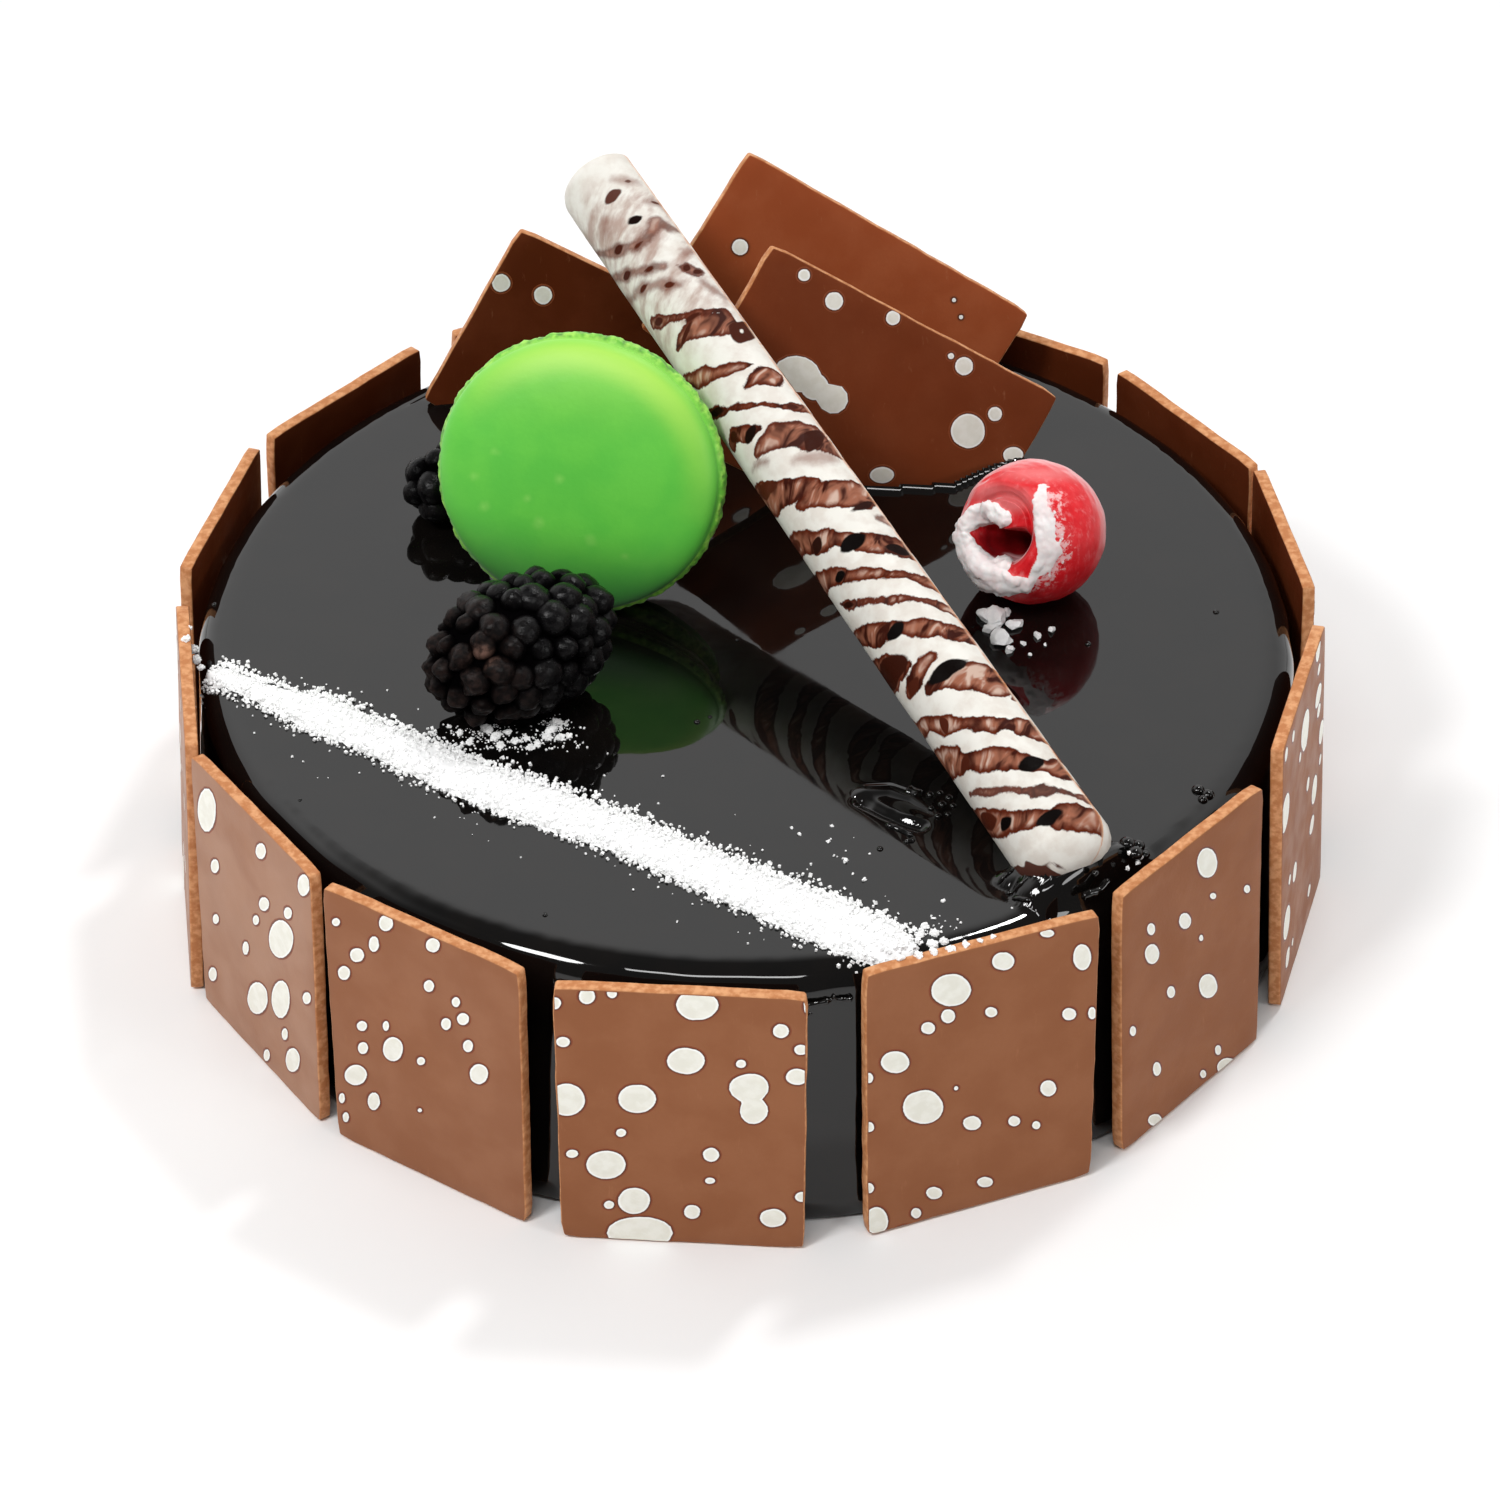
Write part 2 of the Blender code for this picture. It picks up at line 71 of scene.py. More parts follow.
# Radii between which the small waves of the rim set in, and their two heights
RIPPLE_RADII = (79.5, 81.5)
RIPPLE_HEIGHTS = (0.09, 0.08)
# Lines of the top's grid: how many, and for both ways where they lie closer, how wide and how much
TOP_LINES = 250
DENSE_ACROSS = (0.42, 0.30, 1.6)
DENSE_DEEP = (-0.62, 0.24, 1.8)
# Glaze climbs a little where it meets a topping, and lies in a pocket below the topping's foot
MENISCUS_HEIGHT = 0.5
MENISCUS_WIDTH = 1.25
POCKET_GAP = 0.3
POCKET_REACH = 8.0
NO_POCKET = 1000.0
# Puddles of glaze round the roll's foot: place, half sizes, turn in degrees
GLAZE_MOUNDS = (
    ((48.4, -62.9, 44.6), (11.4, 6.0, 5.0), 22.0),
    ((40.4, -63.6, 44.9), (5.2, 2.6, 1.9), -15.0),
)
# Creases in the glaze in photo pixels: line, depth (negative) or height, half width in mm
GLAZE_CREASES = (
    (((861, 801), (884, 813), (904, 821), (920, 826)), -0.9, 0.85),
    (((866, 790), (890, 789), (914, 797), (938, 812)), 0.3, 1.25),
    (((874, 806), (892, 815), (912, 817)), 0.2, 0.9),
)
# Folds and beads that stand on the glaze: corners in photo pixels, half width and height in mm
GLAZE_FOLDS = (
    (((901, 789), (912, 791), (924, 799)), 0.9, 0.5),
    (((880, 823), (893, 826), (906, 832), (917, 839)), 0.55, 0.45),
    (((898, 841), (909, 843), (920, 838)), 0.4, 0.4),
    (((993, 888), (1008, 880), (1024, 876), (1037, 880), (1031, 890), (1016, 896), (1000, 893)),
     0.32, 0.5),
    (((1008, 895), (1022, 903), (1036, 909)), 0.5, 0.4),
    (((1044, 893), (1056, 884), (1070, 884)), 0.7, 0.8),
    (((1076, 905), (1096, 899), (1112, 888)), 0.6, 0.6),
)
# Thin ragged runs of glaze where it meets the rim and the panels
GLAZE_RUNS = (
    (((548, 957), (575, 969), (606, 979), (650, 982), (698, 983)), 0.46, 0.42),
    (((698, 983), (750, 983), (800, 981), (835, 977), (859, 973)), 0.42, 0.38),
    (((612, 984), (650, 990), (684, 991), (730, 990), (776, 988), (818, 990)), 0.34, 0.34),
    (((549, 958), (560, 965), (572, 971), (585, 979)), 0.8, 0.5),
    (((962, 949), (990, 940), (1023, 927), (1046, 918), (1056, 911)), 0.28, 0.24),
    (((988, 950), (1012, 938), (1030, 930), (1050, 922)), 0.34, 0.3),
)
# Distance between the rings of a fold or a run
BEAD_STEP = 0.22
# Small bubbles on the glaze: photo pixel and radius in mm
GLAZE_BUBBLES = (
    (930, 795, 0.6), (940, 793, 0.5), (949, 798, 0.6), (953, 806, 0.55), (948, 815, 0.5), (938, 817, 0.6),
    (931, 810, 0.5), (942, 805, 0.7), (1126, 858, 1.2), (1137, 855, 1.1), (1134, 867, 1.2),
    (1144, 863, 0.8), (1198, 790, 1.0), (1208, 794, 1.0), (1203, 799, 0.8), (697, 722, 0.5),
    (710, 717, 0.35), (440, 689, 0.95), (1216, 612, 0.5), (545, 915, 0.4), (1094, 891, 0.6),
    (214, 600, 0.4), (737, 640, 0.3), (1088, 644, 0.5), (880, 849, 0.5), (300, 800, 0.3),
)

# Band of sugar on the top: its middle line and, at distances along it, its reach away from
# the camera and towards it
SUGAR_START = Vector((-81.6, -14.3, CAKE_TOP))
SUGAR_END = Vector((23.2, -79.0, CAKE_TOP))
SUGAR_RIDGE = 0.7
SUGAR_AWAY = (
    (0, 2.0), (11, 2.1), (16, 3.4), (20, 4.7), (26, 4.2), (32, 3.6), (41, 3.8), (50, 3.7), (61, 4.4),
    (72, 4.9), (85, 5.0), (96, 4.8), (108, 5.4), (113, 5.0), (117, 4.7), (120, 3.9), (123, 2.4),
)
SUGAR_NEAR = (
    (0, 1.6), (4, 2.0), (11, 2.5), (22, 4.1), (30, 3.7), (38, 4.3), (47, 5.0), (55, 5.1), (66, 4.3),
    (76, 3.4), (90, 4.1), (101, 4.7), (108, 5.3), (116, 5.1), (119, 4.1), (123, 1.2),
)
BAND_STATIONS = 260
BAND_COLUMNS = 26
CARRIER_COLUMNS = 40
# Sheet that carries the stray grains: lines, near left corner and size
STRAY_LINES = 150
STRAY_CORNER = (-80.0, -78.0)
STRAY_SIZE = (118.0, 62.0)
SUGAR_GRAIN = 0.3
EDGE_GRAIN = 0.5
# Thin patches of grains: photo pixel, half sizes in mm and how many times the strays
SUGAR_PATCHES = (
    ((525, 740), (9.0, 2.8), 30.0), ((489, 725), (2.3, 3.2), 70.0), ((557, 728), (2.2, 2.8), 70.0),
    ((458, 733), (3.5, 1.6), 22.0), ((935, 937), (4.2, 3.6), 30.0), ((965, 947), (4.5, 1.5), 40.0),
    ((842, 850), (7.0, 6.5), 0.8),
)
# Clumps of sugar by the CAD node that carries them: photo pixel, half size and height in mm
SUGAR_CLUMPS = {
    "cake": (
        (484, 716, 1.2, 1.0), (490, 723, 1.5, 1.3), (487, 731, 1.3, 1.0), (497, 737, 1.2, 0.9),
        (508, 733, 0.8, 0.8), (515, 742, 0.9, 0.6), (527, 739, 0.7, 0.6), (538, 744, 0.9, 0.6),
        (547, 738, 0.9, 0.7), (551, 731, 1.1, 1.1), (556, 723, 1.0, 1.0), (560, 738, 0.8, 0.6),
        (570, 736, 0.7, 0.5), (500, 746, 0.9, 0.5), (530, 748, 0.8, 0.5), (460, 734, 0.7, 0.6),
        (470, 742, 0.8, 0.6), (449, 727, 0.5, 0.4), (926, 927, 0.7, 0.6), (935, 934, 0.8, 0.7),
        (922, 935, 0.7, 0.6), (944, 941, 0.8, 0.6), (933, 945, 0.9, 0.7), (943, 901, 0.4, 0.4),
        (951, 950, 0.9, 0.6), (964, 948, 0.7, 0.5), (792, 828, 0.35, 0.3), (799, 834, 0.35, 0.3),
        (832, 826, 0.4, 0.3), (828, 842, 0.35, 0.3), (846, 861, 0.45, 0.35), (865, 880, 0.4, 0.3),
        (1129, 853, 0.35, 0.4), (1138, 863, 0.4, 0.5), (1128, 868, 0.35, 0.4), (1141, 857, 0.3, 0.4),
    ),
    "side_panel_12": (
        (186, 640, 0.9, 0.8), (192, 650, 1.1, 1.0), (197, 660, 0.9, 0.7), (190, 628, 0.5, 0.4),
        (201, 668, 0.6, 0.5),
    ),
    "side_panel_02": (
        (884, 962, 0.7, 0.5), (900, 959, 0.8, 0.6), (918, 956, 0.9, 0.7), (934, 953, 1.0, 0.7),
        (950, 949, 0.9, 0.6), (966, 945, 0.8, 0.5), (980, 941, 0.6, 0.4), (993, 937, 0.5, 0.3),
    ),
}
# Crumbs of melted sugar beside the red berry: photo pixel, half size and height in mm
SUGAR_CRUMBS = (
    (995, 622, 2.6, 1.5), (1002, 641, 1.7, 1.6), (1038, 637, 0.7, 0.8), (1052, 631, 0.7, 0.8),
    (984, 618, 1.5, 1.1), (1014, 626, 1.3, 1.1), (1010, 651, 1.0, 0.8), (1023, 644, 0.5, 0.5),
    (989, 630, 1.0, 1.0), (1006, 614, 0.8, 0.9), (1030, 655, 0.4, 0.4), (1045, 645, 0.35, 0.3),
)

# Panels
PANEL_ROUNDING = 0.35
PANEL_GRID = {"side": (14, 20, 1), "top": (14, 22, 1)}
# Painted shade on the outer faces of the top panels: how far their tone is darkened towards the dark inner
# one
TOP_PANEL_PAINTED_SHADE = {"top_panel_left": 1.0, "top_panel_back": 0.0, "top_panel_front": 0.66}
# How much painted pale sheen, standing in for reflected light, lightens a panel's outer face
PANEL_PAINTED_SHEEN = {"side_panel_13": 0.34, "side_panel_12": 0.25, "side_panel_14": 0.06}
# Width of the ring round a spot, height of the spot's middle and depth of its underside
SPOT_RING = 0.42
SPOT_RISE = 0.06
SPOT_SINK = 0.15
# Radii of the spots on panels that the photograph doesn't show
CHANCE_SIZES = (0.55, 0.7, 0.9, 1.1, 1.4, 2.0, 2.7)
# Cream spots in photo pixels: x, y, half width, half height. Two spots that run together
# share a row
SPOTS = {
    "side_panel_01": (
        (555, 1003, 6, 6), (587, 996, 8, 8), (612, 993, 5, 5), (697, 1005, 21, 15), (563, 1042, 7, 5),
        (686, 1061, 19, 13), (781, 1031, 8, 7), (801, 1050, 7, 5), (741, 1064, 5, 4), (797, 1077, 11, 8),
        (749, 1088, 20, 14, 754, 1111, 14, 13), (567, 1100, 18, 16), (637, 1099, 19, 14), (621, 1133, 5, 4),
        (572, 1154, 6, 4), (606, 1165, 20, 14), (711, 1155, 8, 7), (710, 1181, 5, 3), (634, 1201, 16, 13),
        (609, 1205, 5, 4), (692, 1212, 8, 7), (773, 1218, 13, 9), (802, 1197, 7, 5), (640, 1233, 33, 16),
        (807, 1007, 3, 8),
    ),
    "side_panel_02": (
        (951, 990, 20, 16), (1003, 961, 11, 9), (1082, 957, 9, 13), (1047, 933, 7, 4), (948, 1016, 7, 7),
        (928, 1028, 7, 6), (991, 1012, 6, 5), (1069, 1014, 7, 6), (1092, 1013, 4, 6), (895, 1062, 14, 11),
        (869, 1078, 4, 5), (923, 1107, 20, 17), (956, 1088, 2, 2), (869, 1127, 5, 5), (972, 1123, 9, 7),
        (1014, 1121, 6, 5), (1036, 1125, 4, 4), (1048, 1088, 8, 8), (869, 1188, 5, 5), (934, 1193, 8, 6),
        (985, 1182, 8, 5), (876, 1221, 12, 14), (916, 1213, 5, 5), (910, 1232, 17, 7),
    ),
    "side_panel_03": (
        (1207, 863, 10, 15), (1185, 921, 6, 8), (1151, 929, 4, 6), (1152, 954, 7, 10), (1208, 986, 9, 12),
        (1213, 896, 3, 3), (1247, 889, 3, 4), (1201, 938, 2, 3), (1171, 992, 4, 6), (1133, 1031, 3, 5),
        (1218, 1050, 3, 5), (1203, 1074, 3, 4), (1157, 1069, 4, 7), (1228, 1067, 11, 9), (1155, 1120, 7, 6),
    ),
    "side_panel_13": (
        (207, 810, 9, 22), (261, 851, 5, 8), (215, 866, 4, 7), (304, 885, 6, 11), (264, 904, 5, 7),
        (288, 913, 4, 6), (256, 920, 3, 5), (281, 939, 12, 19), (216, 919, 3, 5), (246, 948, 3, 7),
        (258, 998, 10, 16), (281, 999, 9, 19), (213, 974, 4, 7), (307, 998, 4, 6), (285, 1034, 3, 6),
        (293, 1060, 7, 12), (267, 1055, 3, 6),
    ),
    "side_panel_14": (
        (336, 922, 4, 4), (386, 923, 7, 8), (433, 945, 7, 7), (374, 944, 5, 8), (357, 955, 7, 7),
        (344, 973, 6, 7), (429, 986, 5, 6), (456, 1002, 4, 5), (463, 1019, 6, 6), (446, 1024, 5, 6),
        (468, 1046, 5, 6), (479, 1074, 9, 10), (362, 1026, 5, 5), (386, 1026, 3, 5), (363, 1048, 5, 6),
        (393, 1049, 10, 12), (421, 1061, 4, 4), (356, 1075, 11, 10), (374, 1101, 6, 9), (420, 1110, 2, 2),
        (342, 1098, 3, 5), (346, 1117, 3, 5),
    ),
    "top_panel_left": ((501, 283, 9, 9), (543, 295, 9, 9)),
    "top_panel_back": ((740, 247, 8, 8), (954, 300, 2, 2), (961, 317, 2, 2)),
    "top_panel_front": (
        (804, 275, 6, 6), (834, 301, 9, 9), (893, 318, 7, 7), (951, 356, 3, 3), (964, 366, 9, 9),
        (796, 374, 24, 18, 833, 399, 15, 15), (968, 431, 17, 17), (995, 414, 7, 7), (1013, 455, 10, 8),
        (882, 475, 12, 8),
    ),
}

# Marbled roll
ROLL_FOOT = Vector((45.8, -61.3, 48.2))
ROLL_TOP = Vector((-23.6, 57.9, 86.9))
ROLL_FOOT_RADIUS = 7.4
ROLL_TOP_RADIUS = 6.45
ROLL_LENGTH = (ROLL_TOP - ROLL_FOOT).length
ROLL_SIDES = 132
ROLL_ROWS = 400
# Ends of the roll: height from the foot or from the top, and share of the full radius
ROLL_START = ((-3.5, 0.30), (-3.2, 0.52), (-2.6, 0.70), (-1.7, 0.84), (-0.7, 0.94), (0.6, 1.0))
ROLL_END = ((-1.5, 0.99), (-1.0, 0.965), (-0.55, 0.93), (-0.2, 0.88), (0.0, 0.80), (-0.25, 0.72))
ROLL_LAP = 0.7
ROLL_SEAM_ANGLE = 124.0
# How the chains climb round the hidden side; direction of the streaks in degrees and how
# they are squeezed
ROLL_SLOPE = -0.68
STREAK_ANGLE = 36.0
STREAK_SCALE = (400.0, 150.0, 1.0)
# Brown chains on the roll, laid flat: strength, then stops of place across in mm from the line
# that faces the camera, height up the roll and half width
ROLL_CHAINS = (
    (1.0, (-10.5, 11.5, 1.8), (-8, 9.7, 1.8), (-5, 7.2, 1.5), (-3, 5.8, 1.1), (-1, 4.5, 1.1),
     (0.8, 3.4, 0.9), (2.5, 2.2, 1.6), (4.5, 1.3, 1.9), (6, 0.6, 1.6), (8, -0.2, 1.2)),
    (0.8, (-7.5, 15, 0.2), (-5.5, 13.6, 0.45), (-4, 12.4, 0.55), (-2, 10.9, 0.25), (-0.5, 9.5, 0.25),
     (1, 7.7, 0.6), (2.5, 7.3, 0.8), (4, 6.6, 0.4), (6, 5, 0.25), (7.5, 4, 0.6), (9.5, 3.3, 0.9)),
    (1.0, (-10.5, 22.7, 2.0), (-8, 21.5, 2.0), (-6, 20, 1.7), (-4.5, 18.5, 1.0), (-2.5, 17, 1.2),
     (-0.5, 15.5, 1.6), (1.5, 13.8, 1.2), (3.3, 12, 1.0), (5, 10.7, 0.7), (6.8, 9.8, 1.7), (9, 9, 1.5)),
    (0.95, (-10.5, 29.5, 1.2), (-8, 28.4, 1.1), (-6, 27.8, 0.7), (-5.2, 26.5, 0.8), (-4, 25.2, 1.2),
     (-2.5, 24, 0.9), (-1, 23, 0.6), (0, 21.6, 0.8), (2, 20.3, 1.0), (4, 19.3, 0.8), (5.5, 18.2, 1.4),
     (7.3, 17.3, 1.7), (9, 15.8, 1.1)),
    (0.9, (7.6, 23.4, 0.4), (9.5, 24.6, 1.0), (11, 25.2, 1.1)),
    (1.0, (-2.6, 31, 0.7), (0, 31, 1.2), (2.5, 29.8, 1.9), (4.5, 28.5, 2.2), (6.2, 27, 2.3),
     (7.7, 26, 1.1)),
    (1.0, (-6, 33.4, 0.6), (-4, 33.8, 1.3), (-1.5, 34.8, 0.9), (0.2, 35, 0.6)),
    (1.0, (-10.5, 40.5, 2.2), (-7, 38.5, 2.3), (-5, 37.3, 1.4), (-3, 36.6, 0.4)),
    (1.0, (-10.5, 48, 0.8), (-8, 46.6, 1.1), (-6, 45.2, 1.5), (-4.2, 43.7, 1.5), (-2.5, 42.8, 1.0),
     (-0.8, 41.9, 0.7), (0.5, 40.6, 1.2), (2.5, 39.4, 1.4), (4, 38.3, 1.0), (5.2, 37.1, 1.3),
     (7, 36.2, 1.3), (9, 35.2, 0.8)),
    (0.85, (-7.5, 52.8, 0.2), (-6, 51.3, 0.6), (-4, 49.9, 0.45), (-2, 48.4, 0.25), (0, 46.5, 0.5),
     (1.5, 46, 0.5), (3.5, 44.3, 0.2), (5, 43.3, 0.45), (6.3, 42.2, 0.8), (8, 40.9, 0.7), (10, 39.8, 0.6)),
    (0.95, (-10.5, 59.2, 1.5), (-6, 57, 1.1), (-4, 55.3, 1.0), (-2.5, 54, 0.7), (0, 52, 0.7),
     (2, 50.5, 0.5), (4.5, 49, 0.5), (6.5, 47.6, 0.9), (8, 46.3, 1.0)),
    (1.0, (-10.5, 66.8, 1.5), (-8, 65.8, 1.5), (-6, 64.5, 1.4), (-4.5, 62.6, 1.4), (-2.5, 61.5, 1.3),
     (-1, 60.2, 0.9), (0.5, 58.4, 1.1), (2.5, 56.6, 1.3), (4.5, 55.5, 1.5), (6.5, 54, 1.6), (8, 52.6, 1.0)),
    (0.7, (6, 60.8, 0.4), (8, 59.6, 0.8)),
    (1.0, (-2.5, 68.8, 0.8), (0, 68.4, 1.5), (2, 67.4, 1.9), (4, 66.3, 2.2), (5.8, 65.3, 2.2),
     (7, 66.6, 0.9)),
    (1.0, (-10.5, 76.5, 2.4), (-8, 75.2, 2.3), (-5.5, 73.6, 2.0), (-3, 72, 1.7), (-1, 71, 1.3),
     (0.6, 70, 0.9)),
    (0.6, (-6.5, 80.3, 0.2), (-5.3, 80.2, 0.3), (-3.5, 78.8, 0.25)),
    (0.45, (0.2, 75.5, 0.3), (3, 74.5, 1.0), (5, 73.5, 1.0)),
    (0.85, (-3.6, 81, 0.6), (-1.5, 81.2, 1.2), (0.5, 80.8, 1.8), (2.5, 79.7, 2.1), (4.5, 78.3, 2.2),
     (6, 76, 1.3), (8, 75, 1.7)),
    (1.0, (-7.4, 86.4, 0.9), (-5.6, 86.8, 0.9), (-4.5, 85.8, 0.9), (-3, 84.6, 1.1), (-1.4, 84, 0.5)),
    (0.9, (-7.8, 93.6, 0.6), (-6, 92.3, 0.8), (-4.5, 91, 0.6), (-3.3, 90.3, 0.2), (-2, 89.4, 0.6),
     (-0.8, 88.5, 0.4), (1, 87.2, 0.15), (3.5, 85, 0.4), (5, 84.6, 0.8), (7, 84, 0.7), (9, 83, 0.4)),
    (1.0, (0.6, 91.4, 0.3), (2.5, 91.8, 0.8), (4.2, 91.6, 1.6), (5, 91, 1.6)),
    (0.9, (-8, 101.6, 0.5), (-7, 100.6, 0.6), (-5.5, 99, 1.1), (-3.5, 97.6, 1.2), (-1.8, 96.6, 0.8),
     (0, 95.6, 0.8), (2, 94.9, 0.6), (3.6, 94.6, 0.2)),
    (0.85, (-5, 105.1, 0.4), (-2.5, 105.6, 1.0), (0, 105.2, 1.7), (2, 104.2, 1.9), (3.5, 103.2, 1.7),
     (4.6, 105.3, 0.8)),
    (0.85, (-6.2, 112.2, 0.7), (-4.6, 111, 0.8), (-3, 109.8, 0.4), (-1.5, 108.6, 0.4), (0.5, 107.6, 0.4),
     (3, 106.6, 0.4), (5, 106, 0.3)),
    (0.55, (4.6, 112.6, 0.4), (5.2, 111, 0.6), (6.5, 109, 0.4)),
    (0.75, (3, 116.6, 0.3), (3.8, 115.9, 0.8), (4.8, 114.6, 0.9)),
    (0.6, (-10.5, 121, 0.8), (-8, 119.4, 0.4), (-5.5, 118.2, 0.4), (-3.7, 117.5, 0.9), (-2, 116.3, 0.4),
     (-0.2, 114.6, 1.0), (1.2, 113.6, 0.4)),
    (0.65, (-10.5, 126.3, 0.6), (-8, 124.6, 0.5), (-6, 122.6, 0.6), (-4.8, 121.8, 0.8), (-3.5, 121, 0.3),
     (-1.7, 119.3, 0.7), (-0.5, 118.8, 0.7), (1, 118, 0.5)),
    (0.5, (5, 118.7, 0.4), (6.2, 119.3, 0.4)),
    (0.65, (-10.5, 132, 0.5), (-7.5, 129.5, 0.5), (-5, 127, 0.7), (-3.3, 126, 0.9), (-2, 125, 0.6),
     (-0.5, 123.8, 0.7), (1, 124, 0.8), (2.5, 125, 0.8), (4.3, 126.2, 1.0), (5.5, 124.5, 0.7),
     (7, 124, 0.3)),
    (0.5, (5.2, 130.6, 0.5), (6.2, 130.5, 0.7), (7.4, 129.5, 0.9)),
    (0.4, (-2.3, 131.7, 0.6), (-3.1, 131, 0.3), (-3.8, 129.9, 0.5)),
    (0.45, (2.6, 137, 0.4), (4, 135.8, 0.8), (5.4, 135.5, 0.4)),
)
# Dark eyes in the marbling: place across, height, half sizes across and up, tilt in degrees,
# darkness, and for one of them the share of the half size that a pale middle takes
ROLL_EYES = (
    (-8.0, 10.0, 2.6, 1.4, -28, 0.7), (-4.9, 7.0, 1.5, 1.0, 0, 1.0), (0.9, 3.1, 2.0, 1.1, -5, 1.0),
    (3.3, 12.0, 1.9, 1.2, -5, 1.0), (-5.0, 18.4, 1.6, 0.8, 20, 0.75), (-4.0, 25.2, 0.8, 1.4, -15, 0.7),
    (1.0, 31.8, 3.4, 1.3, 3, 1.0), (-4.6, 33.4, 1.8, 1.0, 20, 0.75), (-7.2, 38.6, 4.8, 2.3, -16, 0.85),
    (-1.8, 42.0, 1.8, 1.05, 6, 1.0), (-6.0, 51.3, 1.5, 0.5, -36, 0.9), (-4.2, 55.4, 1.2, 0.85, -15, 1.0),
    (5.9, 54.0, 2.3, 1.1, -28, 0.95), (0.4, 58.2, 2.3, 1.3, 0, 1.0), (-4.4, 62.1, 1.4, 1.0, 25, 0.9),
    (5.0, 63.3, 2.3, 0.7, 10, 0.9), (-9.0, 66.3, 2.2, 1.0, -25, 0.6), (-7.0, 76.2, 3.4, 1.2, -30, 0.6),
    (4.7, 77.6, 2.6, 1.6, 42, 0.85), (-2.8, 84.3, 1.6, 0.9, 25, 0.95), (-5.8, 86.7, 1.2, 0.8, -15, 0.85),
    (-5.8, 92.2, 2.2, 0.7, -35, 0.95), (5.4, 101.2, 2.9, 2.0, 48, 0.8, 0.18),
    (-2.2, 105.6, 2.4, 0.5, 32, 0.8), (0.0, 107.2, 1.5, 0.4, -10, 0.8), (-5.0, 111.3, 1.1, 0.6, -30, 0.8),
    (0.0, 114.5, 1.0, 0.6, -20, 0.7), (-3.7, 117.5, 1.0, 0.45, -8, 0.7), (3.8, 116.0, 0.8, 0.6, 30, 0.8),
    (4.9, 114.6, 0.9, 0.6, 0, 0.8), (-4.9, 121.9, 1.0, 0.55, -22, 0.8), (-1.1, 119.0, 1.0, 0.5, -20, 0.75),
    (-3.4, 126.1, 1.3, 0.6, -15, 0.8), (-0.4, 123.9, 0.9, 0.4, 0, 0.7), (1.3, 128.4, 1.3, 0.75, 0, 0.95),
    (0.7, 134.3, 1.6, 1.0, 5, 0.62), (4.1, 135.8, 0.7, 0.4, -10, 0.5), (6.3, 130.4, 0.8, 0.4, -20, 0.6),
    (4.9, 84.6, 1.1, 0.6, -10, 0.8),
)
# Brown stain on the roll's foot: photo pixel and half sizes, and how dark it is
ROLL_STAIN = (1036, 873, 25, 9)
STAIN_DARKNESS = 0.62
# Depth of a place that no chain, eye or stain reaches, and the heights, clear of them all,
# given on the flat sheet to the middle of the foot and to the bore
OUTSIDE = -9.0
SHEET_FOOT = -9.0
SHEET_BORE = 900.0

# Macaron
MACARON_BASE = Vector((-26.8, 0.1, 45.5))
MACARON_FACING = -12.0
MACARON_LEAN = 25.5
MACARON_RADIUS = 22.7
MACARON_FLATTENING = 0.957
SHELL_DEPTH = 6.4
FOOT_DEPTH = 2.3
FILLING_DEPTH = 1.6
BACK_SHELL_SIZE = 0.975
BACK_SHELL_SLIP = Vector((-1.3, -1.0, 0.0))
# Directions in degrees round the shell in which its rim draws in and in which a painted highlight lies on
# its rim
DRAWN_SIDE = 50.0
HIGHLIGHT_SIDE = 72.0
SHELL_SIDES = 300
FILLING_SIDES = 200
PIECE_GAP = 0.3
# Outline of the filling: share of its radius and of its depth
FILLING_PROFILE = (
    (0.0, 0.0), (0.5, 0.0), (0.93, 0.0), (0.985, 0.12), (1.0, 0.35), (1.003, 0.5), (1.0, 0.65),
    (0.985, 0.88), (0.93, 1.0), (0.5, 1.0), (0.0, 1.0),
)
# Pale specks on the front shell: place across and up from its middle and radius
MACARON_SPECKS = (
    (-2.2, -0.4, 1.0), (-15.6, -1.8, 0.9), (-7.0, -4.2, 0.8), (-4.8, -7.8, 1.2), (-13.6, -6.4, 1.1),
    (-12.5, 2.6, 0.8), (3.4, -9.6, 1.2), (8.8, -11.6, 0.8),
)

# Dark berries: centre, direction of the long axis, half length, half width and how dry one end is
FRONT_BERRY = (Vector((-33.5, -21.3, 55.2)), Vector((0.83, 0.53, 0.16)), 16.0, 10.8, 1.0)
LEFT_BERRY = (Vector((-44.4, 27.0, 51.5)), Vector((0.9, 0.42, 0.1)), 10.4, 7.0, 0.0)
DRUPELET_SPACING = 3.9
DRUPELET_RADIUS = 2.62
# Faded patch at the dry end of the front berry: photo pixel and half sizes
DRY_PATCH = (484, 656, 11, 8)
RED_CENTRE = Vector((45.2, 7.2, 55.2))
RED_OPENING = Vector((-0.64, -0.595, 0.483))
RED_RADIUS = 11.1
RED_SIDES = 200
# Outline of the red berry from its far end to the bottom of its hollow, in radii: how far
# from the axis and how far along it
RED_OUTER = (
    (0.0, -0.84), (0.22, -0.825), (0.42, -0.78), (0.58, -0.69), (0.72, -0.56), (0.83, -0.41),
    (0.92, -0.24), (0.975, -0.06), (1.0, 0.12), (0.995, 0.28), (0.97, 0.42), (0.92, 0.57),
    (0.86, 0.7), (0.79, 0.80),
)
RED_LIP = ((0.72, 0.86), (0.66, 0.90), (0.60, 0.91), (0.53, 0.88), (0.47, 0.80))
RED_HOLLOW = (
    (0.43, 0.68), (0.40, 0.5), (0.37, 0.3), (0.33, 0.1), (0.27, -0.08), (0.18, -0.19), (0.0, -0.24),
)
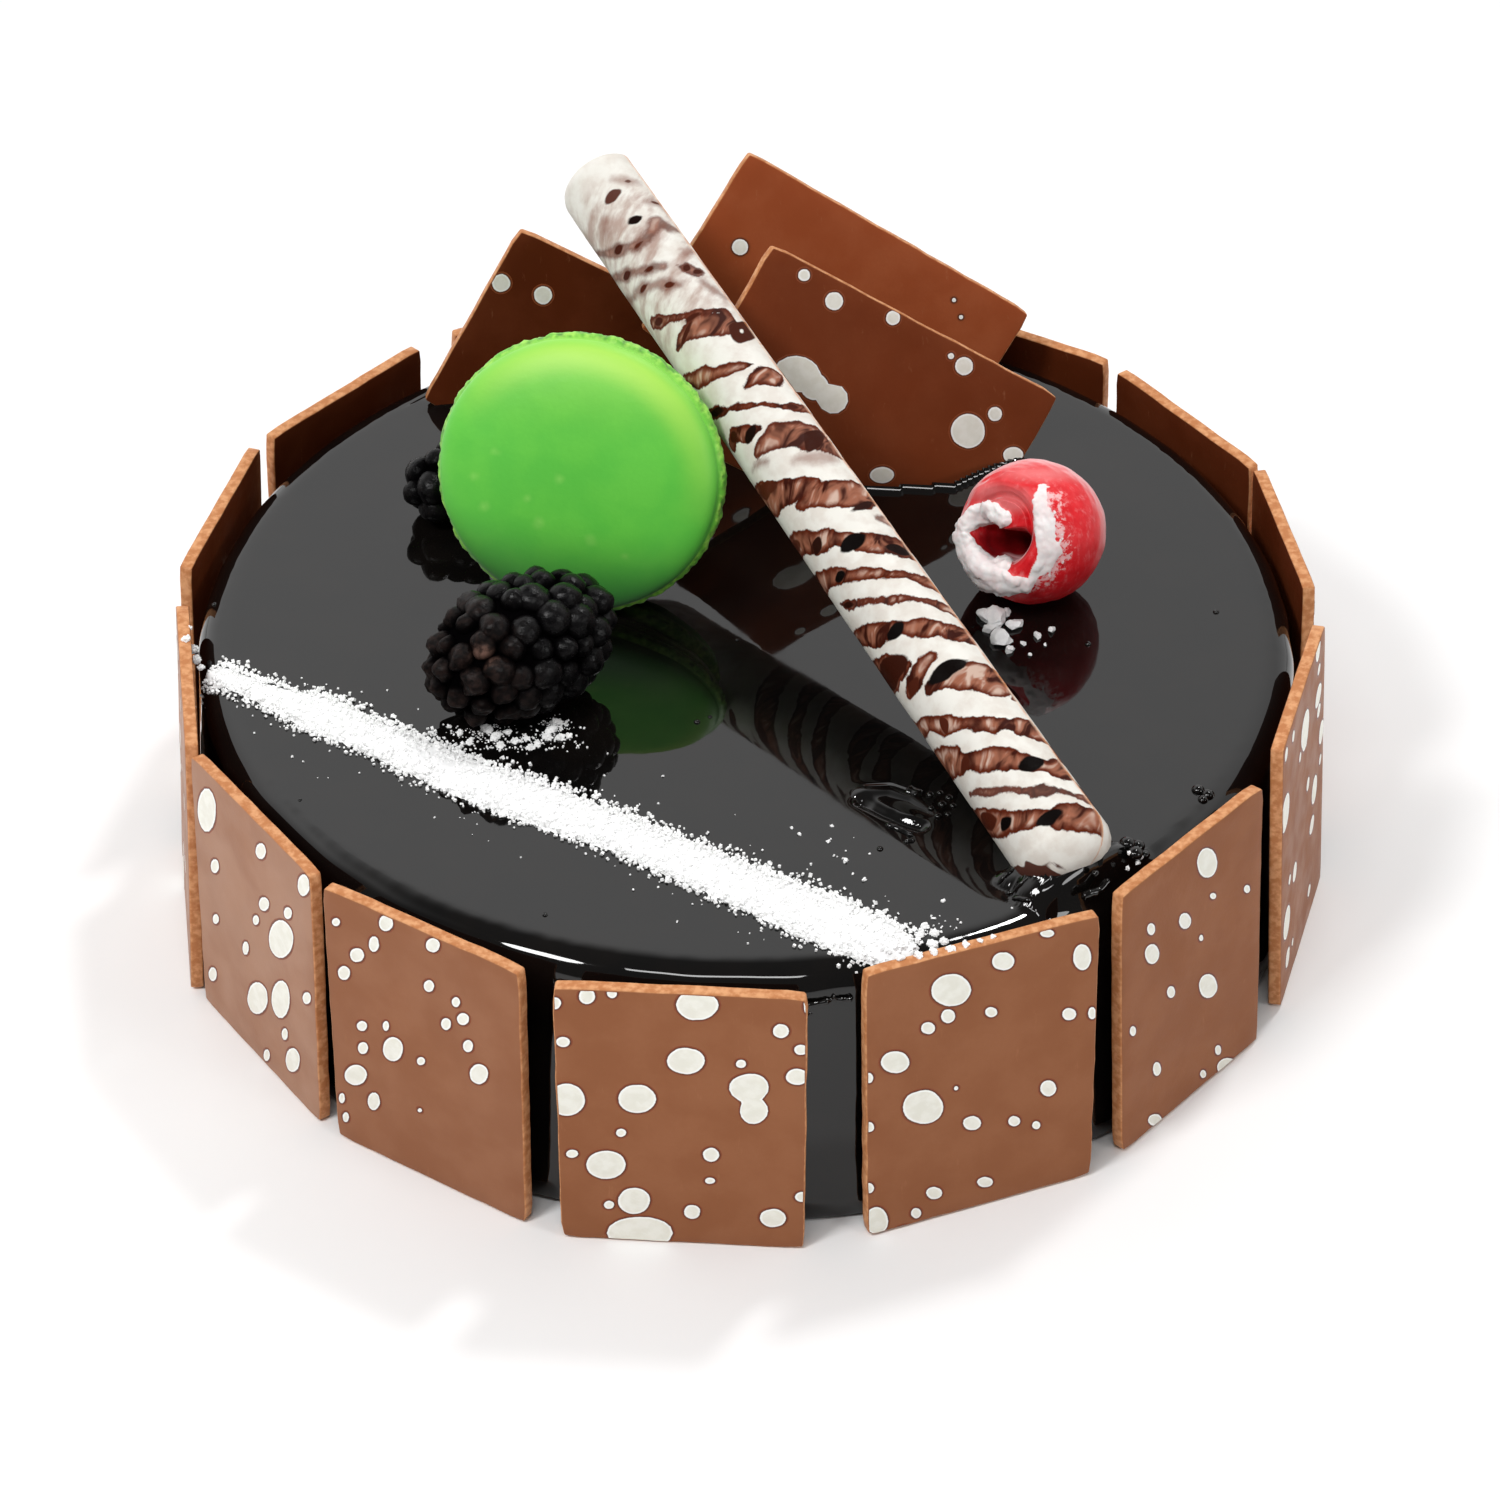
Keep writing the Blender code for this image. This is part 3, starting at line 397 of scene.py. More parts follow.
# Frost on the red berry in photo pixels: strength, then stops of x, y and half width. Lobes
# are thick and the strip is thin
RED_LOBES = (
    (1.0, (962, 538, 7.4), (966, 552, 11.5), (975, 565, 13), (990, 576, 12.3), (1008, 584, 9),
     (1026, 584, 5.5)),
    (1.0, (964, 527, 6.5), (978, 516, 9.5), (992, 512, 9), (1004, 518, 7)),
    (1.0, (1001, 566, 6.2), (1005, 564, 6.2)),
)
RED_STRIP = (
    1.0, (1044, 488, 4.6), (1041, 501, 7.2), (1044, 518, 9.0), (1047, 536, 10.2), (1051, 552, 11.6),
    (1046, 565, 8.8), (1035, 576, 5.2), (1028, 587, 4.4),
)
# Paler powdery pink on the top and the right rim, painted light where light falls on them: photo pixel and
# half sizes
RED_PAINTED_LIGHT = ((1005, 500, 30, 14), (990, 492, 24, 10), (1040, 474, 40, 7), (1106, 530, 7, 40))


# ---- camera and places


def camera_turn():
    return Matrix.Rotation(math.radians(90.0 - CAMERA_PITCH), 3, "X")


def photo_ray(x, y):
    """Direction from the camera through a pixel of the photograph."""
    step = SENSOR_WIDTH / CAMERA_LENS / PHOTO_SIDE
    middle = PHOTO_SIDE / 2.0
    return camera_turn() @ Vector(((x - middle) * step, (middle - y) * step, -1.0))


def photo_pixels(points):
    """Pixels of the photograph at which these points, an array in metres, would show."""
    turn = np.array(camera_turn())
    local = (points - np.array(CAMERA_PLACE)) @ turn
    scale = PHOTO_SIDE * CAMERA_LENS / SENSOR_WIDTH
    middle = PHOTO_SIDE / 2.0
    x = middle + scale * local[:, 0] / -local[:, 2]
    y = middle - scale * local[:, 1] / -local[:, 2]
    return x, y


def on_top(x, y):
    """The point in mm on the level plane of the cake's top under a pixel."""
    ray = photo_ray(x, y)
    return (CAMERA_PLACE + ray * ((CAKE_TOP * MM - CAMERA_PLACE.z) / ray.z)) / MM


def along(direction, place, spin=0.0):
    """A frame whose Z axis follows the direction."""
    turn = Vector(direction).to_track_quat("Z", "Y").to_matrix().to_4x4()
    return Matrix.Translation(place) @ turn @ Matrix.Rotation(math.radians(spin), 4, "Z")


def placed(name, data):
    """A new object in the scene."""
    made = bpy.data.objects.new(name, data)
    bpy.context.scene.collection.objects.link(made)
    return made


def make_camera():
    camera = placed("camera", bpy.data.cameras.new("camera"))
    camera.data.lens = CAMERA_LENS
    camera.data.sensor_width = SENSOR_WIDTH
    camera.location = CAMERA_PLACE
    camera.rotation_euler = (math.radians(90.0 - CAMERA_PITCH), 0.0, 0.0)
    bpy.context.scene.camera = camera


# ---- node helpers


def colour(red, green, blue):
    """Linear colour from the eight-bit values that a colour picker shows."""
    parts = [(value / 255.0) for value in (red, green, blue)]
    return tuple(p / 12.92 if p <= 0.04045 else ((p + 0.055) / 1.055) ** 2.4 for p in parts)


class Nodes:
    """Makes and links nodes in one tree. A colour is three numbers or an output."""

    def __init__(self, tree):
        self.tree = tree

    def feed(self, node, inputs):
        """Sets or links inputs by their name or number."""
        for key, value in inputs.items():
            socket = node.inputs[key]
            if isinstance(value, bpy.types.NodeSocket):
                self.tree.links.new(value, socket)
            else:
                socket.default_value = (*value, 1.0) if socket.type == "RGBA" else value
        return node

    def add(self, kind, inputs=None, **settings):
        node = self.tree.nodes.new(kind)
        for key, value in settings.items():
            setattr(node, key, value)
        return self.feed(node, inputs or {})

    def mix(self, factor, first, second):
        """Colour between the first and the second."""
        return self.add("ShaderNodeMix", {0: factor, 6: first, 7: second}, data_type="RGBA").outputs[2]

    def math(self, operation, first, second):
        return self.add("ShaderNodeMath", {0: first, 1: second}, operation=operation).outputs[0]

    def plus(self, first, second):
        return self.math("ADD", first, second)

    def times(self, first, second):
        return self.math("MULTIPLY", first, second)

    def centred(self, value, amount):
        """Noise from 0 to 1, moved to lie round 0 and multiplied."""
        return self.times(self.math("SUBTRACT", value, 0.5), amount)

    def between(self, value, low, high, start=0.0, end=1.0):
        """The value, taken smoothly from low..high to start..end."""
        inputs = {0: value, 1: low, 2: high, 3: start, 4: end}
        return self.add("ShaderNodeMapRange", inputs, interpolation_type="SMOOTHSTEP").outputs[0]

    def read(self, name):
        """Numbers that mark() stored on the mesh."""
        return self.add("ShaderNodeAttribute", attribute_name=name).outputs["Fac"]

    def place(self, *scale):
        """Object coordinates in mm, stretched by the scale."""
        coordinates = self.add("ShaderNodeTexCoord").outputs["Object"]
        scales = tuple(part / MM for part in scale or (1.0, 1.0, 1.0))
        return self.add("ShaderNodeMapping", {"Vector": coordinates, "Scale": scales}).outputs[0]

    def cloud(self, size, detail=3.0, roughness=0.5, place=None):
        """Noise from 0 to 1 with blotches of about this size in mm."""
        number = isinstance(size, float)
        scale = 1.0 / size if number else self.math("DIVIDE", 1.0, size)
        inputs = {"Scale": scale, "Detail": detail, "Roughness": roughness}
        inputs["Vector"] = self.place() if place is None else place
        return self.add("ShaderNodeTexNoise", inputs).outputs["Fac"]

    def uneven(self, base, blotch, size, strength):
        inputs = {"Base": base, "Blotch": blotch, "Blotch size": size, "Strength": strength}
        return self.add("ShaderNodeGroup", node_tree=TONE, inputs=inputs).outputs[0]

    def tooth(self, size, relief, waves):
        inputs = {"Tooth size": size, "Relief": relief, "Waves": waves}
        return self.add("ShaderNodeGroup", node_tree=TOOTH, inputs=inputs).outputs[0]


class Group(Nodes):
    """A node group with these inputs, titles and socket kinds, and one output."""

    def __init__(self, name, kind, output, inputs):
        super().__init__(bpy.data.node_groups.new(name, kind))
        rows = [("INPUT", *row) for row in inputs.items()] + [("OUTPUT", output, output)]
        for way, title, socket in rows:
            self.tree.interface.new_socket(name=title, in_out=way, socket_type="NodeSocket" + socket)
        self.entry = self.tree.nodes.new("NodeGroupInput")
        self.exit = self.tree.nodes.new("NodeGroupOutput")

    def given(self, title):
        return self.entry.outputs[title]

    def leave(self, value):
        self.tree.links.new(value, self.exit.inputs[0])
        return self.tree


class Finish(Nodes):
    """A new material, built up to its Principled shader."""

    def __init__(self, name):
        self.material = bpy.data.materials.new(name)
        self.material.use_nodes = True
        super().__init__(self.material.node_tree)

    def done(self, tone, rough, tooth=None, shine=0.5, more=None):
        """Sets or links the shader's own sockets. The tooth is its size, relief and waves."""
        inputs = {"Base Color": tone, "Roughness": rough, "Specular IOR Level": shine}
        if tooth:
            inputs["Normal"] = self.tooth(*tooth)
        self.feed(self.tree.nodes["Principled BSDF"], inputs | (more or {}))
        return self.material


def tone_group():
    """Uneven tone: large soft blotches and fine specks over a base colour."""
    inputs = {"Base": "Color", "Blotch": "Color", "Blotch size": "Float", "Strength": "Float"}
    group = Group("uneven tone", "ShaderNodeTree", "Color", inputs)
    wide = group.between(group.cloud(group.given("Blotch size"), 4.0), 0.36, 0.66)
    fine = group.between(group.cloud(0.6, 2.0), 0.42, 0.7, 0.85, 1.0)
    amount = group.times(group.times(wide, group.given("Strength")), fine)
    return group.leave(group.mix(amount, group.given("Base"), group.given("Blotch")))


def tooth_group():
    """Fine tooth of a dry or set surface and wide waves, as a normal."""
    inputs = {"Tooth size": "Float", "Relief": "Float", "Waves": "Float"}
    group = Group("surface tooth", "ShaderNodeTree", "Vector", inputs)
    fine = {"Height": group.cloud(group.given("Tooth size")), "Distance": 0.1 * MM}
    first = group.add("ShaderNodeBump", {**fine, "Strength": group.given("Relief")}).outputs[0]
    wide = {"Height": group.cloud(7.0, 2.0), "Distance": 0.5 * MM, "Normal": first}
    return group.leave(group.add("ShaderNodeBump", {**wide, "Strength": group.given("Waves")}).outputs[0])


TONE = tone_group()
TOOTH = tooth_group()


# ---- finishes


def mirror_glaze():
    new = Finish("dark mirror glaze")
    tone = new.uneven((0.0028, 0.0025, 0.0024), (0.0045, 0.0035, 0.003), 9.0, 1.0)
    dull = new.between(new.cloud(14.0, 4.0), 0.45, 0.75, 0.02, 0.075)
    return new.done(tone, dull, (3.0, 0.02, 0.015), more={"IOR": 1.47})


def set_chocolate():
    """Milk chocolate panel: pale matte edges with painted light, painted shade inside and on top panels,
    painted sheen, faint scuffs.
    """
    new = Finish("set milk chocolate")
    face = new.uneven((0.282, 0.107, 0.048), (0.322, 0.130, 0.062), 8.0, 0.8)
    rich = new.uneven((0.325, 0.074, 0.025), (0.370, 0.096, 0.036), 8.0, 0.8)
    face = new.mix(new.read("rich"), face, rich)
    # Painted sheen: a pale wash on some outer faces stands in for light reflected off them
    bloom = new.times(new.read("bloom"), new.between(new.cloud(16.0), 0.3, 0.6, 0.6, 1.0))
    face = new.mix(bloom, face, (0.62, 0.44, 0.34))
    # Painted shade: the inner faces, which face the black glaze, get this much darker tone
    back = new.uneven((0.098, 0.020, 0.006), (0.128, 0.029, 0.010), 9.0, 0.8)
    face = new.mix(new.read("inner"), face, back)
    # Pale edges: partly the matte broken chocolate, partly painted light where the edges catch light from
    # above
    edge = new.uneven((0.50, 0.20, 0.08), (0.70, 0.35, 0.17), 1.2, 1.0)
    tone = new.mix(new.between(new.read("rim"), 0.35, 0.8), face, edge)
    scuff = new.cloud(1.2, 5.0, 0.7, new.place(1.0, 1.0, 0.2))
    tone = new.mix(new.between(scuff, 0.62, 0.8, 0.0, 0.35), tone, (0.46, 0.20, 0.10))
    rough = new.between(new.cloud(5.0, 4.0), 0.3, 0.7, 0.30, 0.45)
    return new.done(tone, rough, (0.5, 0.25, 0.25), 0.05)


def cream_spot():
    """Cream print: a whiter rim and a thin dark ring round it."""
    new = Finish("cream spot")
    edge = new.read("reach")
    middle = new.uneven(colour(236, 234, 222), colour(246, 245, 236), 1.6, 0.8)
    pale = new.mix(new.between(edge, -0.45, -0.15), middle, colour(253, 253, 248))
    shifted = new.plus(edge, new.centred(new.cloud(0.7), 0.16))
    dark = new.mix(new.between(shifted, -0.03, 0.05), pale, (0.100, 0.022, 0.008))
    tone = new.mix(new.between(shifted, 0.10, 0.34), dark, (0.260, 0.066, 0.024))
    return new.done(tone, 0.36, (0.5, 0.2, 0.2), 0.2)


def marbled_sheet():
    """White chocolate with brown chains: dark outlines, paler streaked insides, dark eyes."""
    new = Finish("marbled chocolate")
    sheet = new.add("ShaderNodeUVMap", uv_map="sheet").outputs[0]
    streaky = new.add("ShaderNodeMapping", {"Vector": sheet, "Scale": STREAK_SCALE}).outputs[0]
    inputs = {"Vector": streaky, "Scale": 1.0, "Detail": 2.0, "Roughness": 0.5, "Distortion": 1.2}
    streak = new.add("ShaderNodeTexNoise", inputs).outputs["Fac"]
    ragged = new.cloud(1.1, 4.0, 0.6)
    shift = new.plus(new.centred(ragged, 1.0), new.centred(streak, 0.7))
    strength = new.read("strength")
    band = new.plus(new.read("band"), shift)
    soft = new.between(strength, 0.45, 0.85, 0.9, 0.14)
    inside = new.between(new.math("DIVIDE", band, soft), -1.0, 1.0)
    inside = new.times(inside, new.between(strength, 0.3, 0.9, 0.5, 1.0))
    white = new.uneven(colour(229, 226, 218), colour(214, 206, 196), 2.6, 0.9)
    smoky = new.between(new.cloud(1.3, 4.0, 0.6, streaky), 0.42, 0.66)
    white = new.mix(new.times(smoky, new.read("smoke")), white, colour(158, 122, 108))
    swirl = new.between(streak, 0.33, 0.55)
    bright = new.between(streak, 0.54, 0.68)
    middle = new.between(band, 0.25, 1.3)
    pale = new.mix(middle, colour(92, 36, 19), colour(152, 96, 74))
    brown = new.mix(swirl, colour(56, 19, 10), pale)
    brown = new.mix(new.times(bright, middle), brown, colour(198, 170, 154))
    brown = new.mix(new.between(strength, 0.4, 0.85, 1.0, 0.0), brown, colour(126, 72, 54))
    tone = new.mix(inside, white, brown)
    eye = new.between(new.plus(new.read("eye"), new.times(shift, 0.3)), -0.14, 0.14)
    darkness = new.read("darkness")
    ink = new.mix(new.between(darkness, 0.7, 1.0), colour(78, 32, 18), colour(9, 4, 3))
    eye = new.times(eye, new.between(darkness, 0.3, 0.7, 0.7, 1.0))
    tone = new.mix(eye, tone, ink)
    lip = new.uneven(colour(205, 140, 95), colour(240, 220, 200), 2.0, 1.0)
    tone = new.mix(new.read("lip"), tone, lip)
    rough = new.between(ragged, 0.3, 0.7, 0.38, 0.55)
    shine = new.between(new.plus(inside, eye), 0.0, 1.0, 0.34, 0.04)
    return new.done(tone, rough, (0.7, 0.35, 0.3), shine)


def baked_shell():
    """Green macaron shell: smooth matte dome with a painted highlight above and painted shade below, porous
    foot with painted shade in its pores.
    """
    new = Finish("baked green shell")
    dome = new.uneven((0.098, 0.565, 0.044), (0.130, 0.62, 0.050), 7.0, 0.9)
    dome = new.mix(new.times(new.read("speck"), 0.7), dome, (0.27, 0.70, 0.11))
    # Painted shade: the lower part of the dome is darkened
    dome = new.mix(new.read("under"), dome, (0.024, 0.16, 0.026))
    # Painted highlight on the upper rim and painted light on the upper part of the dome
    painted_light = new.mix(new.read("painted_light"), dome, (0.40, 0.76, 0.085))
    foot = new.uneven((0.14, 0.52, 0.03), (0.38, 0.78, 0.10), 1.1, 1.0)
    tone = new.mix(new.read("foot"), painted_light, foot)
    # Painted shade in the pores of the foot
    tone = new.mix(new.read("painted_pore_shade"), tone, (0.03, 0.17, 0.012))
    return new.done(tone, 0.5, (0.8, 0.3, 0.12), more={"Sheen Weight": 0.15})


def macaron_cream():
    new = Finish("macaron cream")
    tone = new.uneven((0.30, 0.55, 0.12), (0.46, 0.66, 0.22), 1.4, 1.0)
    return new.done(tone, 0.45, (0.6, 0.4, 0.0))


def dark_skin():
    """Near-black fruit skin with a satin sheen, browner and duller where it has dried, with painted shade in
    the creases between drupelets.
    """
    new = Finish("dark fruit skin")
    dryness = new.read("dryness")
    crest = new.read("crest")
    plump = new.uneven((0.0022, 0.0020, 0.0023), (0.0062, 0.0055, 0.0058), 1.6, 1.0)
    dry = new.uneven((0.0040, 0.0026, 0.0024), (0.021, 0.012, 0.010), 1.0, 1.0)
    worn = new.between(new.cloud(1.0, 4.0), 0.35, 0.6, 0.25, 1.0)
    tone = new.mix(dryness, plump, dry)
    tone = new.mix(new.times(new.read("fade"), worn), tone, (0.19, 0.105, 0.080))
    # Painted shade: the creases between the drupelets are darkened
    tone = new.mix(crest, (0.0012, 0.0010, 0.0012), tone)
    patchy = new.between(new.cloud(1.4, 4.0), 0.35, 0.65, 0.18, 0.34)
    rough = new.plus(patchy, new.times(dryness, 0.2))
    shine = new.times(crest, new.between(dryness, 0.0, 1.0, 0.15, 0.09))
    return new.done(tone, rough, (0.4, 0.9, 0.2), shine)


def red_skin():
    """Smooth red fruit with powdery streaks, a painted highlight on its rim, painted light on its top,
    painted shade in its hollow and thick white frost.
    """
    new = Finish("frosted red fruit skin")
    skin = new.uneven((0.72, 0.008, 0.015), (0.80, 0.022, 0.030), 2.0, 0.9)
    powder = new.cloud(1.0, 5.0, 0.65, new.place(1.0, 1.0, 0.4))
    skin = new.mix(new.between(powder, 0.50, 0.74, 0.0, 0.35), skin, (0.86, 0.34, 0.35))
    # Painted light: paler powdery pink on the top and the right rim
    skin = new.mix(new.read("blush"), skin, (0.80, 0.22, 0.22))
    # Painted shade: the hollow is darkened
    skin = new.mix(new.read("hollow"), skin, (0.20, 0.003, 0.005))
    # Painted highlight: paler pink where the surface turns away from the view and faces sideways or up
    normal = new.add("ShaderNodeNewGeometry").outputs["Normal"]
    up = new.add("ShaderNodeSeparateXYZ", {0: normal}).outputs["Z"]
    facing = new.add("ShaderNodeLayerWeight", {"Blend": 0.5}).outputs["Facing"]
    painted_rim_highlight = new.times(new.between(facing, 0.52, 0.92), new.between(up, -0.35, 0.35))
    skin = new.mix(new.times(painted_rim_highlight, 0.9), skin, (0.92, 0.52, 0.53))
    haze = new.read("haze")
    flecks = new.plus(new.cloud(1.0, 5.0, 0.7), new.times(haze, 0.16))
    flecks = new.times(new.between(flecks, 0.58, 0.70, 0.0, 0.85), new.between(haze, 0.0, 0.5))
    skin = new.mix(flecks, skin, (0.88, 0.56, 0.56))
    grain = new.cloud(0.9, 5.0, 0.62)
    lobe = new.between(new.plus(new.read("lobe"), new.centred(grain, 1.4)), -0.25, 0.3)
    dust = new.between(new.plus(new.read("dust"), new.centred(grain, 6.0)), -0.2, 1.6)
    frost = new.math("MAXIMUM", lobe, dust)
    white = new.uneven((0.90, 0.86, 0.85), (0.84, 0.66, 0.66), 2.2, 0.6)
    tone = new.mix(frost, skin, white)
    rough = new.between(frost, 0.0, 1.0, 0.42, 0.6)
    more = {"Subsurface Weight": 0.10, "Subsurface Scale": 1.2 * MM, "Subsurface Radius": (1.0, 0.3, 0.25)}
    return new.done(tone, rough, (0.6, 0.5, 0.25), 0.3, more)


def sugar_white():
    new = Finish("white sugar")
    tone = new.uneven((0.98, 0.98, 0.975), (0.94, 0.94, 0.94), 0.5, 0.7)
    return new.done(tone, 0.5, (0.28, 0.35, 0.0))


def wet_sugar():
    """Sugar that has half melted into the glaze."""
    new = Finish("wet sugar")
    tone = new.uneven((0.90, 0.90, 0.90), (0.98, 0.98, 0.97), 0.8, 1.0)
    return new.done(tone, 0.28, (0.5, 0.9, 0.0))


# ---- mesh helpers


def object_of(name, mesh, *materials):
    for material in materials:
        mesh.materials.append(material)
    return placed(name, mesh)


def mesh_from(shape, name, sharp=None):
    """A smooth mesh from a bmesh, which is then freed."""
    mesh = bpy.data.meshes.new(name)
    shape.to_mesh(mesh)
    shape.free()
    mesh.shade_smooth()
    if sharp:
        mesh.set_sharp_from_angle(angle=math.radians(sharp))
    return mesh


def mesh_of(name, points, faces, sharp=None, matrix=Matrix(), unit=MM):
    """A smooth mesh from points in mm or another unit, its faces turned outwards."""
    shape = bmesh.new()
    corners = [shape.verts.new((matrix @ Vector(point)) * unit) for point in points]
    for face in faces:
        shape.faces.new([corners[index] for index in face])
    bmesh.ops.recalc_face_normals(shape, faces=shape.faces[:])
    return mesh_from(shape, name, sharp)


def mark(mesh, **layers):
    """Stores a number per point under each name, which a material or a node tree reads."""
    for name, values in layers.items():
        layer = mesh.attributes.new(name, "FLOAT", "POINT")
        layer.data.foreach_set("value", np.full(len(mesh.vertices), values, np.float32))


def points_of(mesh):
    flat = np.empty(len(mesh.vertices) * 3, np.float32)
    mesh.vertices.foreach_get("co", flat)
    return flat.reshape(-1, 3).astype(float)


def move_points(mesh, places):
    mesh.vertices.foreach_set("co", places.astype(np.float32).ravel())
    mesh.update()


def settle(piece, slot, *nodes):
    """The finished piece rides on the cake and stands for these CAD nodes."""
    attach(piece, "root")
    if nodes:
        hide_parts(*nodes)
    return piece


def ring_faces(low, high, closed=True):
    """Faces between two rows of point numbers. A row of one number is a pole."""
    faces = []
    count = max(len(low), len(high))
    for step in range(count if closed else count - 1):
        after = (step + 1) % count
        corners = [low[step % len(low)], low[after % len(low)]]
        corners += [high[after % len(high)], high[step % len(high)]]
        faces.append([c for i, c in enumerate(corners) if c not in corners[:i]])
    return faces


def loft(points, faces, rows, closed=True):
    """Adds rows of places and the faces between each row and the next."""
    previous = None
    for row in rows:
        ring = range(len(points), len(points) + len(row))
        points += row
        if previous is not None:
            faces += ring_faces(previous, ring, closed)
        previous = ring


def lofted(rows, closed=True):
    """Points and faces of a skin over rows of places."""
    points, faces = [], []
    loft(points, faces, rows, closed)
    return points, faces


def grid_faces(lines):
    """Faces of a square grid whose points were made line by line."""
    step = lines + 1
    corners = [i * step + j for i in range(lines) for j in range(lines)]
    return [(corner, corner + step, corner + step + 1, corner + 1) for corner in corners]


def smooth_step(low, high, value):
    part = np.clip((value - low) / (high - low), 0.0, 1.0)
    return part * part * (3.0 - 2.0 * part)


def waver(point, size, seed=0.0):
    """Noise from -1 to 1 at a point in mm."""
    return noise.noise(Vector(point) / size + Vector((seed * 7.3, seed * 1.7, seed * 3.1)))


def circle(sides):
    """Cosine and sine of the angle at each step round a circle."""
    angles = [2.0 * math.pi * step / sides for step in range(sides)]
    return [(math.cos(angle), math.sin(angle)) for angle in angles]


def distance_to_line(x, y, line):
    """Distance in mm from every point to a line of corners."""
    nearest = np.full(x.shape, 1e9)
    for (ax, ay), (bx, by) in zip(line, line[1:]):
        run = max((bx - ax) ** 2 + (by - ay) ** 2, 1e-12)
        part = np.clip(((x - ax) * (bx - ax) + (y - ay) * (by - ay)) / run, 0.0, 1.0)
        nearest = np.minimum(nearest, np.hypot(x - ax - part * (bx - ax), y - ay - part * (by - ay)))
    return nearest


def nodes_tree(*names):
    """One search tree over the meshes of these CAD nodes."""
    points, faces = [], []
    for name in names:
        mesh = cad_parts[name].data
        start = len(points)
        points += [vertex.co.copy() for vertex in mesh.vertices]
        faces += [[start + index for index in face.vertices] for face in mesh.polygons]
    return BVHTree.FromPolygons(points, faces)


# ---- Geometry Nodes


def laid_on(group, points, piece, turn, scale, material, smooth):
    """Lays the piece on the points and ends the group with plain mesh of the material."""
    inputs = {"Points": points, "Instance": piece, "Rotation": turn, "Scale": scale}
    laid = group.add("GeometryNodeInstanceOnPoints", inputs).outputs[0]
    real = group.add("GeometryNodeRealizeInstances", {"Geometry": laid}).outputs[0]
    if smooth:
        real = group.add("GeometryNodeSetShadeSmooth", {"Geometry": real}).outputs[0]
    inputs = {"Geometry": real, "Material": material}
    return group.leave(group.add("GeometryNodeSetMaterial", inputs).outputs[0])


def grain_tree(material):
    """Scatters small crystals over a carrier, as densely as its attribute 'grains' says."""
    inputs = {"Carrier": "Geometry", "Grains per area": "Float", "Grain size": "Float"}
    inputs |= {"Lift": "Float", "Seed": "Int"}
    group = Group("scattered grains", "GeometryNodeTree", "Geometry", inputs)
    share = group.add("GeometryNodeInputNamedAttribute", {"Name": "grains"}, data_type="FLOAT")
    density = group.times(group.given("Grains per area"), share.outputs["Attribute"])
    inputs = {"Mesh": group.given("Carrier"), "Density": density, "Seed": group.given("Seed")}
    spread = group.add("GeometryNodeDistributePointsOnFaces", inputs, distribute_method="RANDOM")
    up = group.add("ShaderNodeCombineXYZ", {"Z": group.given("Lift")}).outputs[0]
    inputs = {"Geometry": spread.outputs["Points"], "Offset": up}
    lifted = group.add("GeometryNodeSetPosition", inputs).outputs[0]
    crystal = group.add("GeometryNodeMeshCube", {"Size": (1.0, 0.8, 0.7)}).outputs["Mesh"]
    angles = {0: (0.0, 0.0, 0.0), 1: (6.28, 6.28, 6.28)}
    turn = group.add("FunctionNodeRandomValue", angles, data_type="FLOAT_VECTOR").outputs[0]
    size = group.add("FunctionNodeRandomValue", {2: 0.45, 3: 1.25}, data_type="FLOAT").outputs[1]
    scale = group.times(size, group.given("Grain size"))
    return laid_on(group, lifted, crystal, turn, scale, material, smooth=False)


def drupelet_tree(material):
    """Sets a plump drupelet on every carrier point, sized by its attribute 'plumpness'."""
    inputs = {"Places": "Geometry", "Radius": "Float", "Seed": "Int"}
    group = Group("set drupelets", "GeometryNodeTree", "Geometry", inputs)
    inputs = {"Radius": group.given("Radius"), "Subdivisions": 3}
    ball = group.add("GeometryNodeMeshIcoSphere", inputs).outputs["Mesh"]
    plump, outward = [
        group.add("GeometryNodeInputNamedAttribute", {"Name": name}, data_type=kind).outputs["Attribute"]
        for name, kind in (("plumpness", "FLOAT"), ("outward", "FLOAT_VECTOR"))
    ]
    turn = group.add("FunctionNodeAlignEulerToVector", {"Vector": outward}, axis="Z").outputs[0]
    limits = {0: (0.92, 0.92, 0.95), 1: (1.08, 1.08, 1.12), "Seed": group.given("Seed")}
    size = group.add("FunctionNodeRandomValue", limits, data_type="FLOAT_VECTOR").outputs[0]
    scale = group.add("ShaderNodeVectorMath", {0: size, "Scale": plump}, operation="SCALE").outputs[0]
    return laid_on(group, group.given("Places"), ball, turn, scale, material, smooth=True)


def remove(piece):
    mesh = piece.data
    bpy.data.objects.remove(piece)
    bpy.data.meshes.remove(mesh)


def grown(name, mesh, tree, values):
    """The plain piece that a Geometry Nodes tree makes on a carrier mesh, which is then removed."""
    carrier = placed("carrier", mesh)
    modifier = carrier.modifiers.new("grow", "NODES")
    modifier.node_group = tree
    for socket in tree.interface.items_tree:
        if socket.name in values:
            modifier[socket.identifier] = values[socket.name]
    graph = bpy.context.evaluated_depsgraph_get()
    made = bpy.data.meshes.new_from_object(carrier.evaluated_get(graph), depsgraph=graph)
    made.name = name
    remove(carrier)
    return placed(name, made)


def strewn(name, mesh, tree, area, size, lift, seed):
    """Sugar on a carrier mesh: grains per square metre, their size and lift in mm."""
    values = {"Grains per area": area, "Grain size": size * MM, "Lift": lift * MM, "Seed": seed}
    return grown(name, mesh, tree, values)


